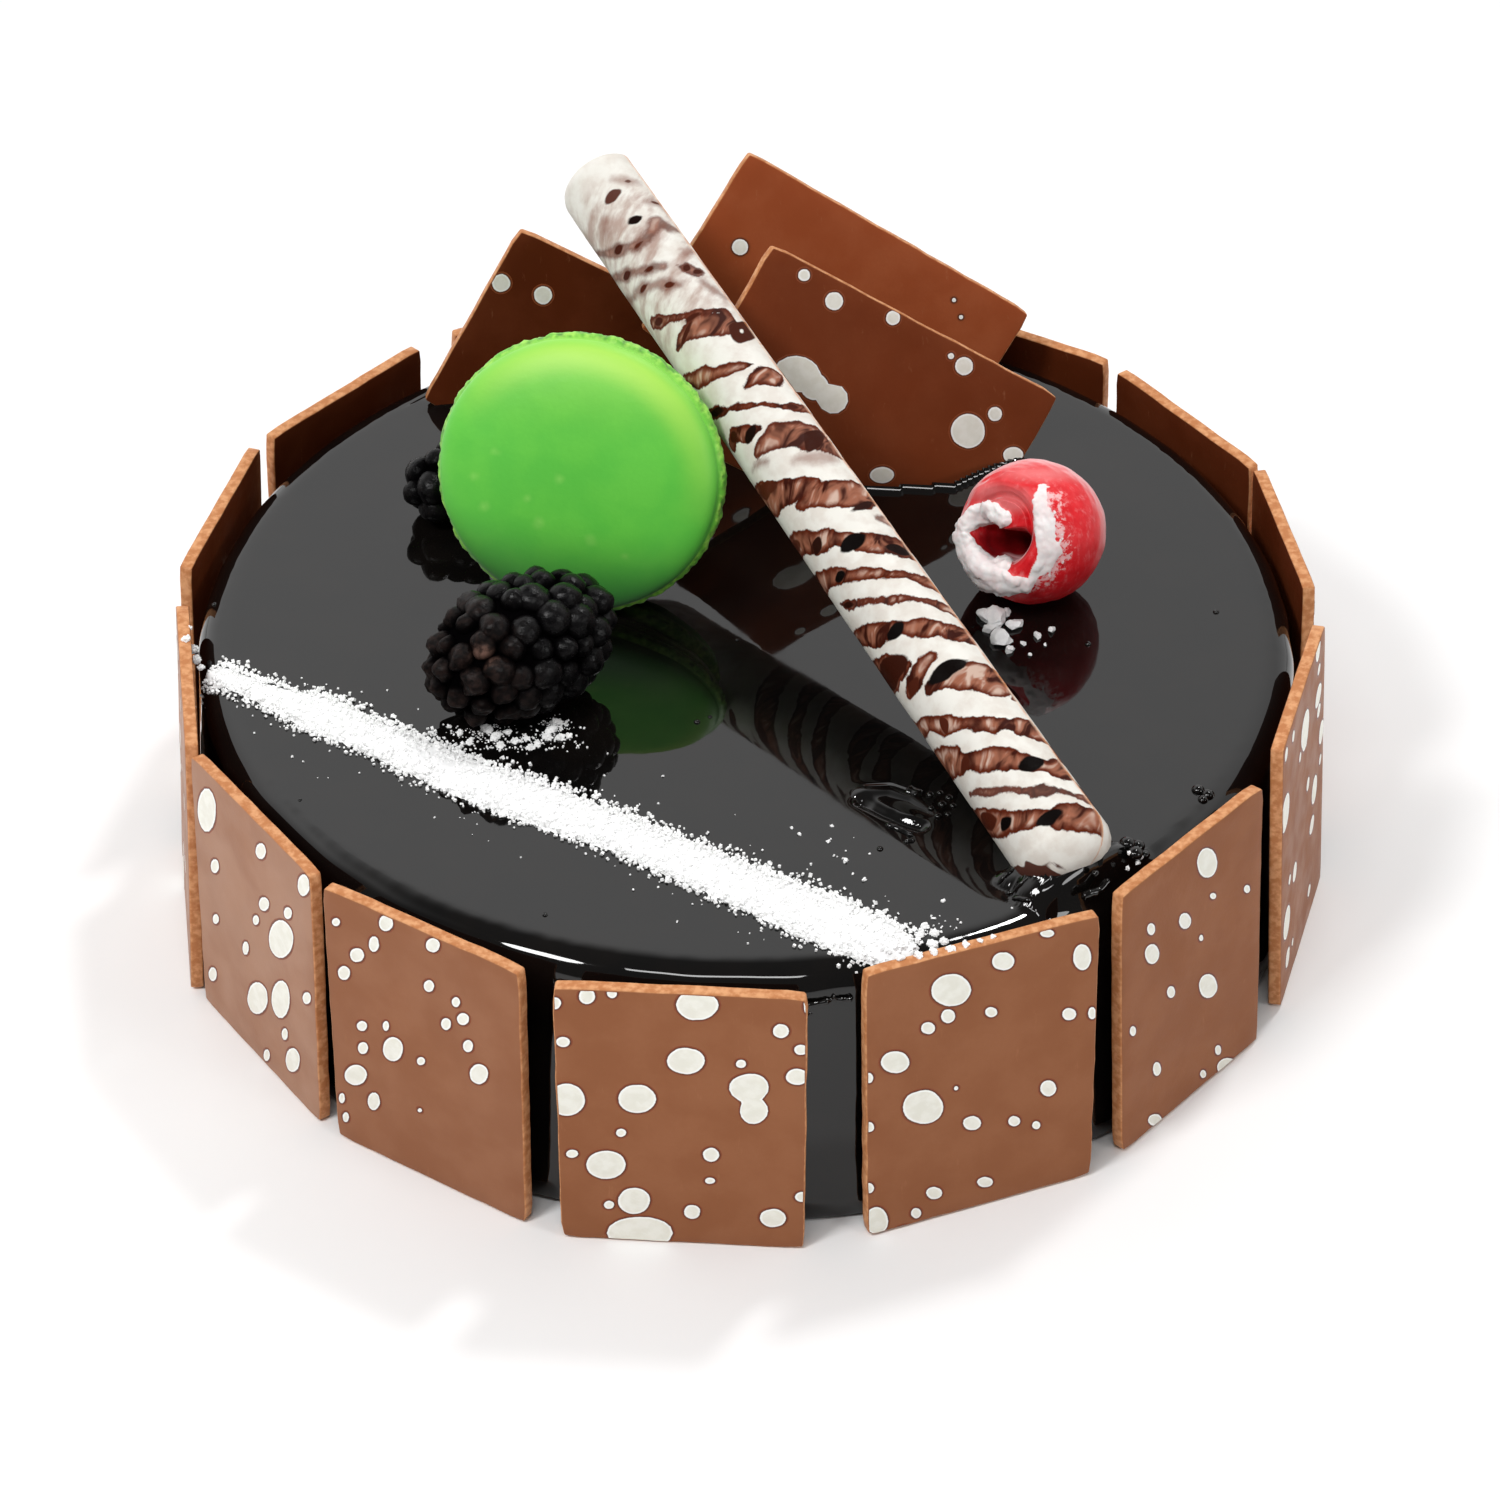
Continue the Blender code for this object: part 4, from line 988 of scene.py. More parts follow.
def joined(name, pieces):
    """One piece from several, with the materials of all."""
    shape = bmesh.new()
    materials = []
    for piece in pieces:
        offset = len(materials)
        materials += list(piece.data.materials)
        start = len(shape.faces)
        shape.from_mesh(piece.data)
        shape.faces.ensure_lookup_table()
        for face in shape.faces[start:]:
            face.material_index += offset
    mesh = bpy.data.meshes.new(name)
    shape.to_mesh(mesh)
    shape.free()
    for piece in pieces:
        remove(piece)
    return object_of(name, mesh, *materials)


# ---- glazed body


def denser_stops(count, focus, width, share):
    """Stops from -1 to 1 that lie closer together round the focus."""
    fine = np.linspace(-1.0, 1.0, 2001)
    weight = 1.0 + share * np.exp(-(((fine - focus) / width) ** 2))
    total = np.concatenate([[0.0], np.cumsum((weight[1:] + weight[:-1]) / 2.0)])
    return np.interp(np.linspace(0.0, total[-1], count + 1), total, fine)


def rim_fall(radius):
    """How far the top has sunk below its middle at a radius, in mm."""
    part = np.clip((radius - ROUNDING_START) / (SHOULDER_RADIUS - ROUNDING_START), 0.0, 1.0)
    return SHOULDER_DROP * (1.0 - np.sqrt(1.0 - part**3))


def top_level(radius, lift=0.0):
    """Height in mm of the plain top at a radius."""
    return CAKE_TOP + lift - rim_fall(radius)


def rim_ripple(x, y):
    """Small waves that run along the rim, in mm."""
    radius = math.hypot(x, y)
    angle = math.atan2(y, x)
    share = smooth_step(*RIPPLE_RADII, radius)
    run = (math.cos(angle) * 42.0, math.sin(angle) * 42.0, radius / 1.9)
    along_rim, across_rim = RIPPLE_HEIGHTS
    return share * (along_rim * waver(run, 1.0, 3.0) + across_rim * waver((x, y, 0.0), 1.8, 5.0))


def mound_height(x, y):
    """Height above the top of the puddles and creases of glaze, in mm."""
    height = np.zeros(x.shape)
    for place, half, turn in GLAZE_MOUNDS:
        angle = math.radians(turn)
        dx = x - place[0]
        dy = y - place[1]
        u = (dx * math.cos(angle) + dy * math.sin(angle)) / half[0]
        v = (dy * math.cos(angle) - dx * math.sin(angle)) / half[1]
        far = u * u + v * v
        rise = half[2] * np.sqrt(np.clip(1.0 - far, 0.0, 1.0)) + place[2] - CAKE_TOP
        foot = 0.28 * np.exp(-np.clip(np.sqrt(far) - 0.85, 0.0, None) * 5.0)
        height = np.maximum(height, np.maximum(rise, foot))
    for line, depth, half in GLAZE_CREASES:
        corners = [tuple(on_top(px, py).xy) for px, py in line]
        height += depth * np.exp(-((distance_to_line(x, y, corners) / half) ** 2))
    return height


def glaze_level(place):
    """Height in mm of the glaze at a place, with its puddles and creases."""
    mound = mound_height(np.array([place.x]), np.array([place.y]))
    return top_level(place.to_2d().length, mound[0])


def glazed_cake(glaze):
    """The whole glazed body: level mirror top with puddles, soft shoulder, glossy side."""
    across = denser_stops(TOP_LINES, *DENSE_ACROSS)
    deep = denser_stops(TOP_LINES, *DENSE_DEEP)
    u, v = np.meshgrid(across, deep, indexing="ij")
    x = FLAT_RADIUS * u * np.sqrt(1.0 - v * v / 2.0)
    y = FLAT_RADIUS * v * np.sqrt(1.0 - u * u / 2.0)
    z = CAKE_TOP - rim_fall(np.hypot(x, y)) + mound_height(x, y)
    toppings = [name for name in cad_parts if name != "cake" and not name.startswith("side_panel")]
    tree = nodes_tree(*toppings)
    rim = np.hypot(x, y) / FLAT_RADIUS
    pocket = np.full(x.shape, NO_POCKET)
    for key in np.ndindex(x.shape):
        start = Vector((x[key], y[key], 0.0)) * MM
        hit = tree.ray_cast(start, Vector((0.0, 0.0, 1.0)), (CAKE_TOP + POCKET_REACH) * MM)[0]
        if hit is not None and hit.z / MM < z[key] + POCKET_GAP:
            pocket[key] = hit.z / MM - POCKET_GAP
        place = Vector((x[key], y[key], CAKE_TOP)) * MM
        far = tree.find_nearest(place, MENISCUS_WIDTH * 4.0 * MM)[3]
        if far is not None and rim[key] < 0.985:
            close = -min(far / MM, 1.0) if pocket[key] < NO_POCKET else far / MM
            z[key] += MENISCUS_HEIGHT * math.exp(-close / MENISCUS_WIDTH)
    # A pocket starts one step inside the topping, so that its edge stays hidden
    covered = pocket < NO_POCKET
    for shift in np.ndindex(3, 3):
        covered = covered & (np.roll(pocket, (shift[0] - 1, shift[1] - 1), axis=(0, 1)) < NO_POCKET)
    z = np.where(covered, pocket, z)
    for key in np.ndindex(x.shape):
        calm = 1.0 - smooth_step(0.97, 1.0, rim[key])
        z[key] += calm * 0.02 * waver((x[key], y[key], 0.0), 11.0)
        z[key] += rim_ripple(x[key], y[key])
    points = [tuple(point) for point in np.stack([x.ravel(), y.ravel(), z.ravel()], axis=1)]
    faces = grid_faces(TOP_LINES)
    number = np.arange(len(points)).reshape(x.shape)
    edges = (number[0, :], number[1:, -1], number[-1, :-1][::-1], number[1:-1, 0][::-1])
    previous = [int(index) for edge in edges for index in edge]
    starts = [points[index] for index in previous]
    # Rings below the top: radius, height and share of the swelling
    profile = []
    for step in range(1, SHOULDER_STEPS + 1):
        part = step / SHOULDER_STEPS
        width = FLAT_RADIUS + (SHOULDER_RADIUS - FLAT_RADIUS) * math.sin(0.5 * math.pi * part)
        profile.append((width, top_level(width), part))
    width, height, _ = profile[-1]
    for step in range(1, SIDE_STEPS + 1):
        part = step / SIDE_STEPS
        side = width + (FOOT_RADIUS - width) * part
        profile.append((side, height + (FOOT_HEIGHT - height) * part, 1.0))
    profile.append((FOOT_RADIUS - FOOT_INSET, 0.0, 0.0))
    rows = []
    for width, height, ripple in profile:
        row = []
        fade = max(0.0, 1.0 - (width - FLAT_RADIUS) / 2.0)
        for start in starts:
            angle = math.atan2(start[1], start[0])
            flow = waver((math.cos(angle) * 14.0, math.sin(angle) * 14.0, height / 14.0), 1.0, 2.0)
            lift = (start[2] - CAKE_TOP + rim_fall(FLAT_RADIUS)) * fade
            far = width + ripple * SIDE_SWELL * flow
            row.append((far * math.cos(angle), far * math.sin(angle), height + lift))
        rows.append(row)
    rows.append([(0.0, 0.0, 0.0)])
    faces += ring_faces(previous, range(len(points), len(points) + len(starts)))
    loft(points, faces, rows)
    mesh = mesh_of("glazed_cake", points, faces, 55.0)
    return settle(object_of("glazed_cake", mesh, glaze), "dark_glaze", "cake")


def ball_mesh(name, places, sides, rows):
    """Small round lumps in one mesh: place and half sizes in mm."""
    shape = bmesh.new()
    for place, half in places:
        made = bmesh.ops.create_uvsphere(shape, u_segments=sides, v_segments=rows, radius=1.0)
        matrix = Matrix.Translation(Vector(place) * MM) @ Matrix.Diagonal((*[h * MM for h in half], 1.0))
        bmesh.ops.transform(shape, matrix=matrix, verts=made["verts"])
    return mesh_from(shape, name)


def glaze_bubbles(glaze):
    places = []
    for x, y, radius in GLAZE_BUBBLES:
        spot = on_top(x, y)
        places.append(((spot.x, spot.y, glaze_level(spot)), (radius, radius, radius * 0.75)))
    mesh = ball_mesh("glaze_bubbles", places, 14, 8)
    return settle(object_of("glaze_bubbles", mesh, glaze), "dark_glaze")


def glaze_bead(name, lines, ragged, glaze):
    """Low wavy beads of glaze, half sunk in the surface that they lie on."""
    points, faces = [], []
    for number, (line, half, tall) in enumerate(lines):
        corners = [on_top(px, py) for px, py in line]
        stations = []
        for first, second in zip(corners, corners[1:]):
            count = max(2, int((second - first).length / BEAD_STEP))
            stations += [first.lerp(second, step / count) for step in range(count)]
        stations.append(corners[-1])
        last = len(stations) - 1
        smooth = []
        for index in range(last + 1):
            near = stations[max(0, index - 6):index + 7]
            smooth.append(sum(near, Vector()) / len(near))
        rows = []
        for index, middle in enumerate(smooth):
            ahead = smooth[min(index + 1, last)] - smooth[max(index - 1, 0)]
            across = Vector((-ahead.y, ahead.x, 0.0)).normalized()
            end = min(1.0, 0.25 * index, 0.25 * (last - index))
            run, seed = index * BEAD_STEP, number * 9.0
            stir = 0.45 * waver((run, seed, 0.0), 1.3) + 0.35 * waver((run, seed, 5.0), 0.6)
            swell = (1.0 + ragged * stir) * end
            place = middle + across * (ragged * 0.5 * waver((run, seed, 8.0), 2.2))
            base = glaze_level(place)
            row = []
            for cosine, sine in circle(12) if end > 0.0 else [(0.0, 0.0)]:
                side = across * (half * swell * cosine)
                row.append((place.x + side.x, place.y + side.y, base + tall * swell * sine))
            rows.append(row)
        loft(points, faces, rows)
    return settle(object_of(name, mesh_of(name, points, faces), glaze), "dark_glaze")


# ---- sugar


def sugar_line(part, side):
    """Point of the band in mm at a share of its length and a distance to its far side."""
    run = (SUGAR_END - SUGAR_START).normalized()
    away = Vector((-run.y, run.x, 0.0))
    return SUGAR_START.lerp(SUGAR_END, part) + away * side


def sugar_band(white, tree):
    """The heaped band and the loose grains along its ragged edges."""
    length = (SUGAR_END - SUGAR_START).length
    rows, wide_rows, inner_share, fringe_share = [], [], [], []
    for station in range(BAND_STATIONS + 1):
        part = station / BAND_STATIONS
        run = part * length
        taper = min(1.0, 0.3 + part * 60.0)
        away, near = [
            np.interp(run, *zip(*stops)) * (taper * (0.98 + 0.13 * waver((run, seed, 0.0), 1.1, 1.0)))
            for stops, seed in ((SUGAR_AWAY, 0.0), (SUGAR_NEAR, 9.0))
        ]
        row = []
        for column in range(BAND_COLUMNS + 1):
            share = 2.0 * column / BAND_COLUMNS - 1.0
            place = sugar_line(part, share * (away if share > 0.0 else near))
            crown = max(0.0, 1.0 - abs(share) ** 2.6)
            rough = 0.06 * waver(place, 0.7) + 0.06 * waver(place, 2.5)
            height = SUGAR_RIDGE * crown * (0.85 + rough) - 0.06 + 0.5 * rough * crown
            row.append((place.x, place.y, top_level(place.to_2d().length) + height))
        row += [(x, y, z - 0.3) for x, y, z in (row[-1], row[0])]
        rows.append(row)
        edge = 3.4 + 1.2 * waver((run, 20.0, 0.0), 6.0)
        wide_row = []
        for column in range(CARRIER_COLUMNS + 1):
            share = 2.0 * column / CARRIER_COLUMNS - 1.0
            side = share * ((away if share > 0.0 else near) + edge)
            beyond = max(0.0, abs(side) - (away if side > 0.0 else near) * 0.8)
            place = sugar_line(part, side)
            level = top_level(place.to_2d().length) + 0.1
            wide_row.append((place.x, place.y, level + 0.5 * max(0.0, 1.0 - beyond)))
            clump = 0.75 + 0.8 * waver(place, 1.5, 4.0)
            wide = 1.25 if side > 0.0 else 0.85
            inner = 1.0 if beyond > 0.0 else 0.1
            inner_share.append(max(0.0, math.exp(-beyond / 0.5) * clump * inner))
            fringe_share.append(max(0.0, math.exp(-(((beyond - 0.9) / wide) ** 2)) * (clump + 0.2)))
        wide_rows.append(wide_row)
    points, faces = lofted(rows)
    count = len(rows[0])
    faces += [range(count), range(len(points) - count, len(points))]
    settle(object_of("sugar_band", mesh_of("sugar_band", points, faces), white), "dark_glaze")
    points, faces = lofted(wide_rows, closed=False)
    for name, share, *setting in (
        ("sugar_band_grains", inner_share, 1.1e7, SUGAR_GRAIN, 0.0, 4),
        ("sugar_band_fringe", fringe_share, 3.4e6, EDGE_GRAIN, 0.05, 6),
    ):
        carrier = mesh_of("band_carrier", points, faces)
        mark(carrier, grains=share)
        settle(strewn(name, carrier, tree, *setting), "dark_glaze")


def loose_sugar(tree):
    """Stray grains on the glaze away from the band, sparser with distance."""
    run = (SUGAR_END - SUGAR_START).normalized()
    patches = [(on_top(*pixel), half, strength) for pixel, half, strength in SUGAR_PATCHES]
    points, share = [], []
    for i, j in np.ndindex(STRAY_LINES + 1, STRAY_LINES + 1):
        x = STRAY_CORNER[0] + STRAY_SIZE[0] * i / STRAY_LINES
        y = STRAY_CORNER[1] + STRAY_SIZE[1] * j / STRAY_LINES
        radius = math.hypot(x, y)
        points.append((x, y, top_level(radius, 0.05)))
        side = abs((Vector((x, y, 0.0)) - SUGAR_START).cross(run).z)
        inside = 1.0 if radius < FLAT_RADIUS - 1.0 else 0.0
        near = inside * math.exp(-max(0.0, side - 5.0) / 3.0)
        ragged = max(0.0, 0.4 + 2.2 * waver((x, y, 0.0), 1.1, 2.0))
        for middle, half, strength in patches:
            far = math.hypot((x - middle.x) / half[0], (y - middle.y) / half[1])
            near += inside * strength * math.exp(-(far**4)) * ragged
        share.append(near)
    carrier = mesh_of("stray_carrier", points, grid_faces(STRAY_LINES))
    mark(carrier, grains=share)
    settle(strewn("stray_sugar", carrier, tree, 1.6e5, SUGAR_GRAIN * 0.95, 0.0, 9), "dark_glaze")


# ---- panels


def plate_frame(node):
    """Axes of a CAD panel: along, up and out of its face, its half sizes and its middle."""
    places = np.unique(np.round(points_of(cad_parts[node].data), 7), axis=0)
    middle = places.mean(axis=0)
    axes = np.linalg.eigh(np.cov((places - middle).T))[1].T
    outward, up = Vector(axes[0]), Vector(axes[2])
    stands = node.startswith("top")
    if outward.dot(Vector((0.0, -1.0, 0.3)) if stands else Vector((middle[0], middle[1], 0.0))) < 0.0:
        outward.negate()
    if up.dot(Vector((1.0, 0.0, 0.0)) if stands else Vector((0.0, 0.0, 1.0))) < 0.0:
        up.negate()
    side = up.cross(outward)
    local = (places - middle) @ np.array([side, up, outward]).T
    low, high = local.min(axis=0), local.max(axis=0)
    turn = Matrix((side, up, outward)).transposed()
    matrix = turn.to_4x4()
    matrix.translation = Vector(middle) + turn @ Vector((high + low) / 2.0)
    return matrix, (high - low) / 2.0 / MM


def rounded_plate(half, radius, counts):
    """Points in mm and faces of a plate with round edges, centred on its own middle."""
    stops = []
    for size, count in zip(half, counts):
        inner = size - radius
        bend = [inner + 0.414 * radius, inner + radius]
        flat = [inner * (2.0 * step / count - 1.0) for step in range(count + 1)]
        stops.append([-b for b in reversed(bend)] + flat + bend)
    last = [len(axis) - 1 for axis in stops]
    numbers, points, faces = {}, [], []

    def corner(key):
        if key not in numbers:
            place = Vector([stops[axis][index] for axis, index in enumerate(key)])
            inner = Vector([max(-s + radius, min(s - radius, p)) for s, p in zip(half, place)])
            numbers[key] = len(points)
            points.append(inner + (place - inner).normalized() * radius)
        return numbers[key]

    for axis in range(3):
        first, second = [other for other in range(3) if other != axis]
        for end in (0, last[axis]):
            for i, j in np.ndindex(last[first], last[second]):
                face = []
                for di, dj in ((0, 0), (1, 0), (1, 1), (0, 1)):
                    key = [0, 0, 0]
                    key[axis], key[first], key[second] = end, i + di, j + dj
                    face.append(corner(tuple(key)))
                faces.append(face)
    return points, faces


def panel_warp(half, seed):
    """How a snapped chocolate panel differs from a true plate."""
    bow = 0.12 * waver((seed * 3.0, 0.5, 0.2), 1.0)

    def edge(place, run, height):
        return 0.16 * waver((place, run, height), 4.0) + 0.05 * waver((place, run, height + 3.0), 0.9)

    def warp(point):
        u, v, w = point
        near_u = max(0.0, 1.0 - (half[0] - abs(u)) / 1.2)
        near_v = max(0.0, 1.0 - (half[1] - abs(v)) / 1.2)
        edge_u = edge(v, seed * 5.0, 0.0)
        edge_v = edge(u, seed * 9.0, 5.0)
        lift = bow * (1.0 - (v / half[1]) ** 2) + 0.05 * waver((u, v, seed * 2.0), 14.0)
        soft = 0.35 * near_u * near_v
        u -= math.copysign(soft, u) - edge_u * near_u
        v -= math.copysign(soft, v) - edge_v * near_v
        return Vector((u, v, w + lift))

    return warp


def photo_spot(matrix, half, row):
    """Outline of a cream spot on the panel's outer face, in the panel's own mm."""
    back = matrix.inverted()
    origin = back @ CAMERA_PLACE
    ellipses = [row[start:start + 4] for start in range(0, len(row), 4)]

    def on_face(x, y):
        ray = back.to_3x3() @ photo_ray(x, y)
        return ((origin + ray * ((half[2] * MM - origin.z) / ray.z)) / MM).xy

    middle_x = sum(e[0] for e in ellipses) / len(ellipses)
    middle_y = sum(e[1] for e in ellipses) / len(ellipses)
    outline = []
    for dx, dy in circle(30 if max(row[2:4]) > 9 else 18):
        reach = 0.75 * min(row[2:4])
        for cx, cy, rx, ry in ellipses:
            ox, oy = (middle_x - cx) / rx, (middle_y - cy) / ry
            ax, ay = dx / rx, dy / ry
            a, b, c = ax * ax + ay * ay, ox * ax + oy * ay, ox * ox + oy * oy - 1.0
            inside = b * b - a * c
            if inside > 0.0:
                reach = max(reach, (-b + math.sqrt(inside)) / a)
        reach *= 1.0 + 0.05 * noise.noise(Vector((dx * 1.3 + row[0], dy * 1.3 + row[1], 0.0)))
        outline.append(on_face(middle_x + dx * reach, middle_y + dy * reach))
    return on_face(middle_x, middle_y), outline


def chance_spots(half, rng):
    """Spots for a panel whose outer face the photograph doesn't show."""
    for _ in range(rng.randint(16, 24)):
        size = rng.choice(CHANCE_SIZES) * rng.uniform(0.85, 1.15)
        middle = Vector((rng.uniform(-half[0], half[0]), rng.uniform(-half[1], half[1])))
        stretch = rng.uniform(0.85, 1.15)
        outline = []
        for cosine, sine in circle(22):
            reach = size * (1.0 + 0.06 * noise.noise(Vector((cosine + middle.x, sine, middle.y))))
            outline.append(middle + Vector((reach * stretch * cosine, reach / stretch * sine)))
        yield middle, outline


def add_spot(shape, layer, middle, outline, top):
    """A thin closed island: cream disc, ring round it, and its underside in the panel."""
    centre = shape.verts.new((*middle, top + SPOT_RISE))
    centre[layer] = -min((corner - middle).length for corner in outline)
    rings = [[centre]]
    for grow, lift in ((-0.5, 0.055), (0.0, 0.04), (SPOT_RING, 0.012), (SPOT_RING, -SPOT_SINK)):
        ring = []
        for corner in outline:
            out = corner - middle
            far = out.length
            length = max(0.45 * far, far + grow) if grow < 0.0 else far + grow
            vertex = shape.verts.new((*(middle + out * (length / far)), top + lift))
            vertex[layer] = length - far if grow <= 0.0 else grow
            ring.append(vertex)
        rings.append(ring)
    rings.append([shape.verts.new((*middle, top - SPOT_SINK))])
    for low, high in zip(rings, rings[1:]):
        both = low + high
        for face in ring_faces(range(len(low)), range(len(low), len(both))):
            shape.faces.new([both[index] for index in face])


def chocolate_panel(node, chocolate, cream, seed):
    matrix, half = plate_frame(node)
    points, faces = rounded_plate(half, PANEL_ROUNDING, PANEL_GRID[node.split("_")[0]])
    warp = panel_warp(half, seed)
    warped = [matrix @ (warp(point) * MM) for point in points]
    mesh = mesh_of(node, warped, faces, 60.0, unit=1.0)
    rim = []
    for point in points:
        beyond = max(abs(point.x) - half[0], abs(point.y) - half[1]) + PANEL_ROUNDING
        rim.append(max(0.0, min(1.0, beyond / PANEL_ROUNDING)))
    # Painted shade: inner faces take the dark inner tone, and a top panel's outer face is darkened towards
    # it
    shade = TOP_PANEL_PAINTED_SHADE.get(node, 0.0)
    inner = [max(shade, smooth_step(half[2] - 0.2, -half[2] + 0.2, p.z)) for p in points]
    mark(mesh, rim=rim, inner=inner, bloom=PANEL_PAINTED_SHEEN.get(node, 0.0), rich=node in TOP_PANEL_PAINTED_SHADE)
    plate = object_of("plate", mesh, chocolate)
    if node in SPOTS:
        spots = [photo_spot(matrix, half, row) for row in SPOTS[node]]
    else:
        spots = chance_spots(half, random.Random(seed))
    shape = bmesh.new()
    layer = shape.verts.layers.float.new("reach")
    for middle, outline in spots:
        add_spot(shape, layer, middle, outline, half[2])
    # Spots that reach past the panel's edge are cut off there
    for axis, sign in ((0, -1.0), (0, 1.0), (1, -1.0), (1, 1.0)):
        normal = Vector((0.0, 0.0, 0.0))
        normal[axis] = sign
        cut = {"plane_co": normal * (half[axis] - PANEL_ROUNDING * 0.8), "plane_no": normal}
        geometry = shape.verts[:] + shape.edges[:] + shape.faces[:]
        bmesh.ops.bisect_plane(shape, geom=geometry, dist=1e-6, clear_outer=True, **cut)
        open_edges = [edge for edge in shape.edges if edge.is_boundary]
        if open_edges:
            bmesh.ops.holes_fill(shape, edges=open_edges, sides=0)
    for vertex in shape.verts:
        vertex.co = matrix @ (warp(vertex.co) * MM)
    bmesh.ops.recalc_face_normals(shape, faces=shape.faces[:])
    spots_object = object_of("spots", mesh_from(shape, "spots", 50.0), cream)
    name = node.replace("_panel", "_chocolate_panel")
    return settle(joined(name, [plate, spots_object]), "milk_chocolate", node)


# ---- marbled roll


def roll_radius(height):
    return ROLL_FOOT_RADIUS + (ROLL_TOP_RADIUS - ROLL_FOOT_RADIUS) * height / ROLL_LENGTH


def chain_depth(side, height, chains):
    """Depth in mm inside the nearest chain and that chain's strength, for arrays of places."""
    best = np.full(side.shape, OUTSIDE)
    power = np.zeros(side.shape)
    for strength, *stops in chains:
        for (s0, h0, w0), (s1, h1, w1) in zip(stops, stops[1:]):
            run = (s1 - s0) ** 2 + (h1 - h0) ** 2
            part = np.clip(((side - s0) * (s1 - s0) + (height - h0) * (h1 - h0)) / run, 0.0, 1.0)
            far = np.hypot(side - s0 - part * (s1 - s0), height - h0 - part * (h1 - h0))
            depth = 1.22 * (w0 + (w1 - w0) * part) + 0.12 - far
            power = np.where(depth > best, strength, power)
            best = np.maximum(best, depth)
    return best, power


def eye_depth(side, height, eyes):
    """Depth in mm inside the nearest dark eye and how dark it is, for arrays of places."""
    best = np.full(side.shape, OUTSIDE)
    darkness = np.zeros(side.shape)
    for place, middle, half_across, half_up, tilt, dark, *hollow in eyes:
        cosine, sine = math.cos(math.radians(tilt)), math.sin(math.radians(tilt))
        u = ((side - place) * cosine + (height - middle) * sine) / half_across
        v = ((height - middle) * cosine - (side - place) * sine) / half_up
        share = (np.abs(u) ** 1.6 + np.abs(v) ** 1.6) ** (1.0 / 1.6)
        depth = (1.0 - share) * half_up
        for pale in hollow:
            depth = np.minimum(depth, (share - pale) * half_up)
        darkness = np.where(depth > best, dark, darkness)
        best = np.maximum(best, depth)
    return best, darkness


def round_the_back(seam):
    """The chains, led on round the hidden side of the roll, with eyes on them there."""
    rng = random.Random(23)
    longer, eyes = [], []
    for strength, *stops in ROLL_CHAINS:
        first = stops[0]
        before = []
        for step in range(6, 0, -1) if first[0] < -10.0 else ():
            side = first[0] - 4.6 * step
            height = first[1] - 4.6 * step * ROLL_SLOPE + rng.uniform(-0.5, 0.5)
            before.append((side, height, rng.uniform(0.5, 2.1)))
            if height < ROLL_LENGTH - 25.0 and rng.random() < 0.5:
                eyes.append((side + rng.uniform(-1.5, 1.5), height, 1.9, 1.1, rng.uniform(-30, 20), 0.9))
        longer.append((strength, *before, *stops))
    start = seam - 2.0 * math.pi * ROLL_FOOT_RADIUS
    longer.append((1.0, (start, 8.0, 1.0), (start + 6.0, 4.0, 1.8), (start + 12.0, 0.0, 1.5)))
    longer.append((1.0, (start, 16.0, 1.6), (start + 8.0, 10.5, 1.2), (start + 20.0, 2.0, 1.9)))
    return longer, eyes


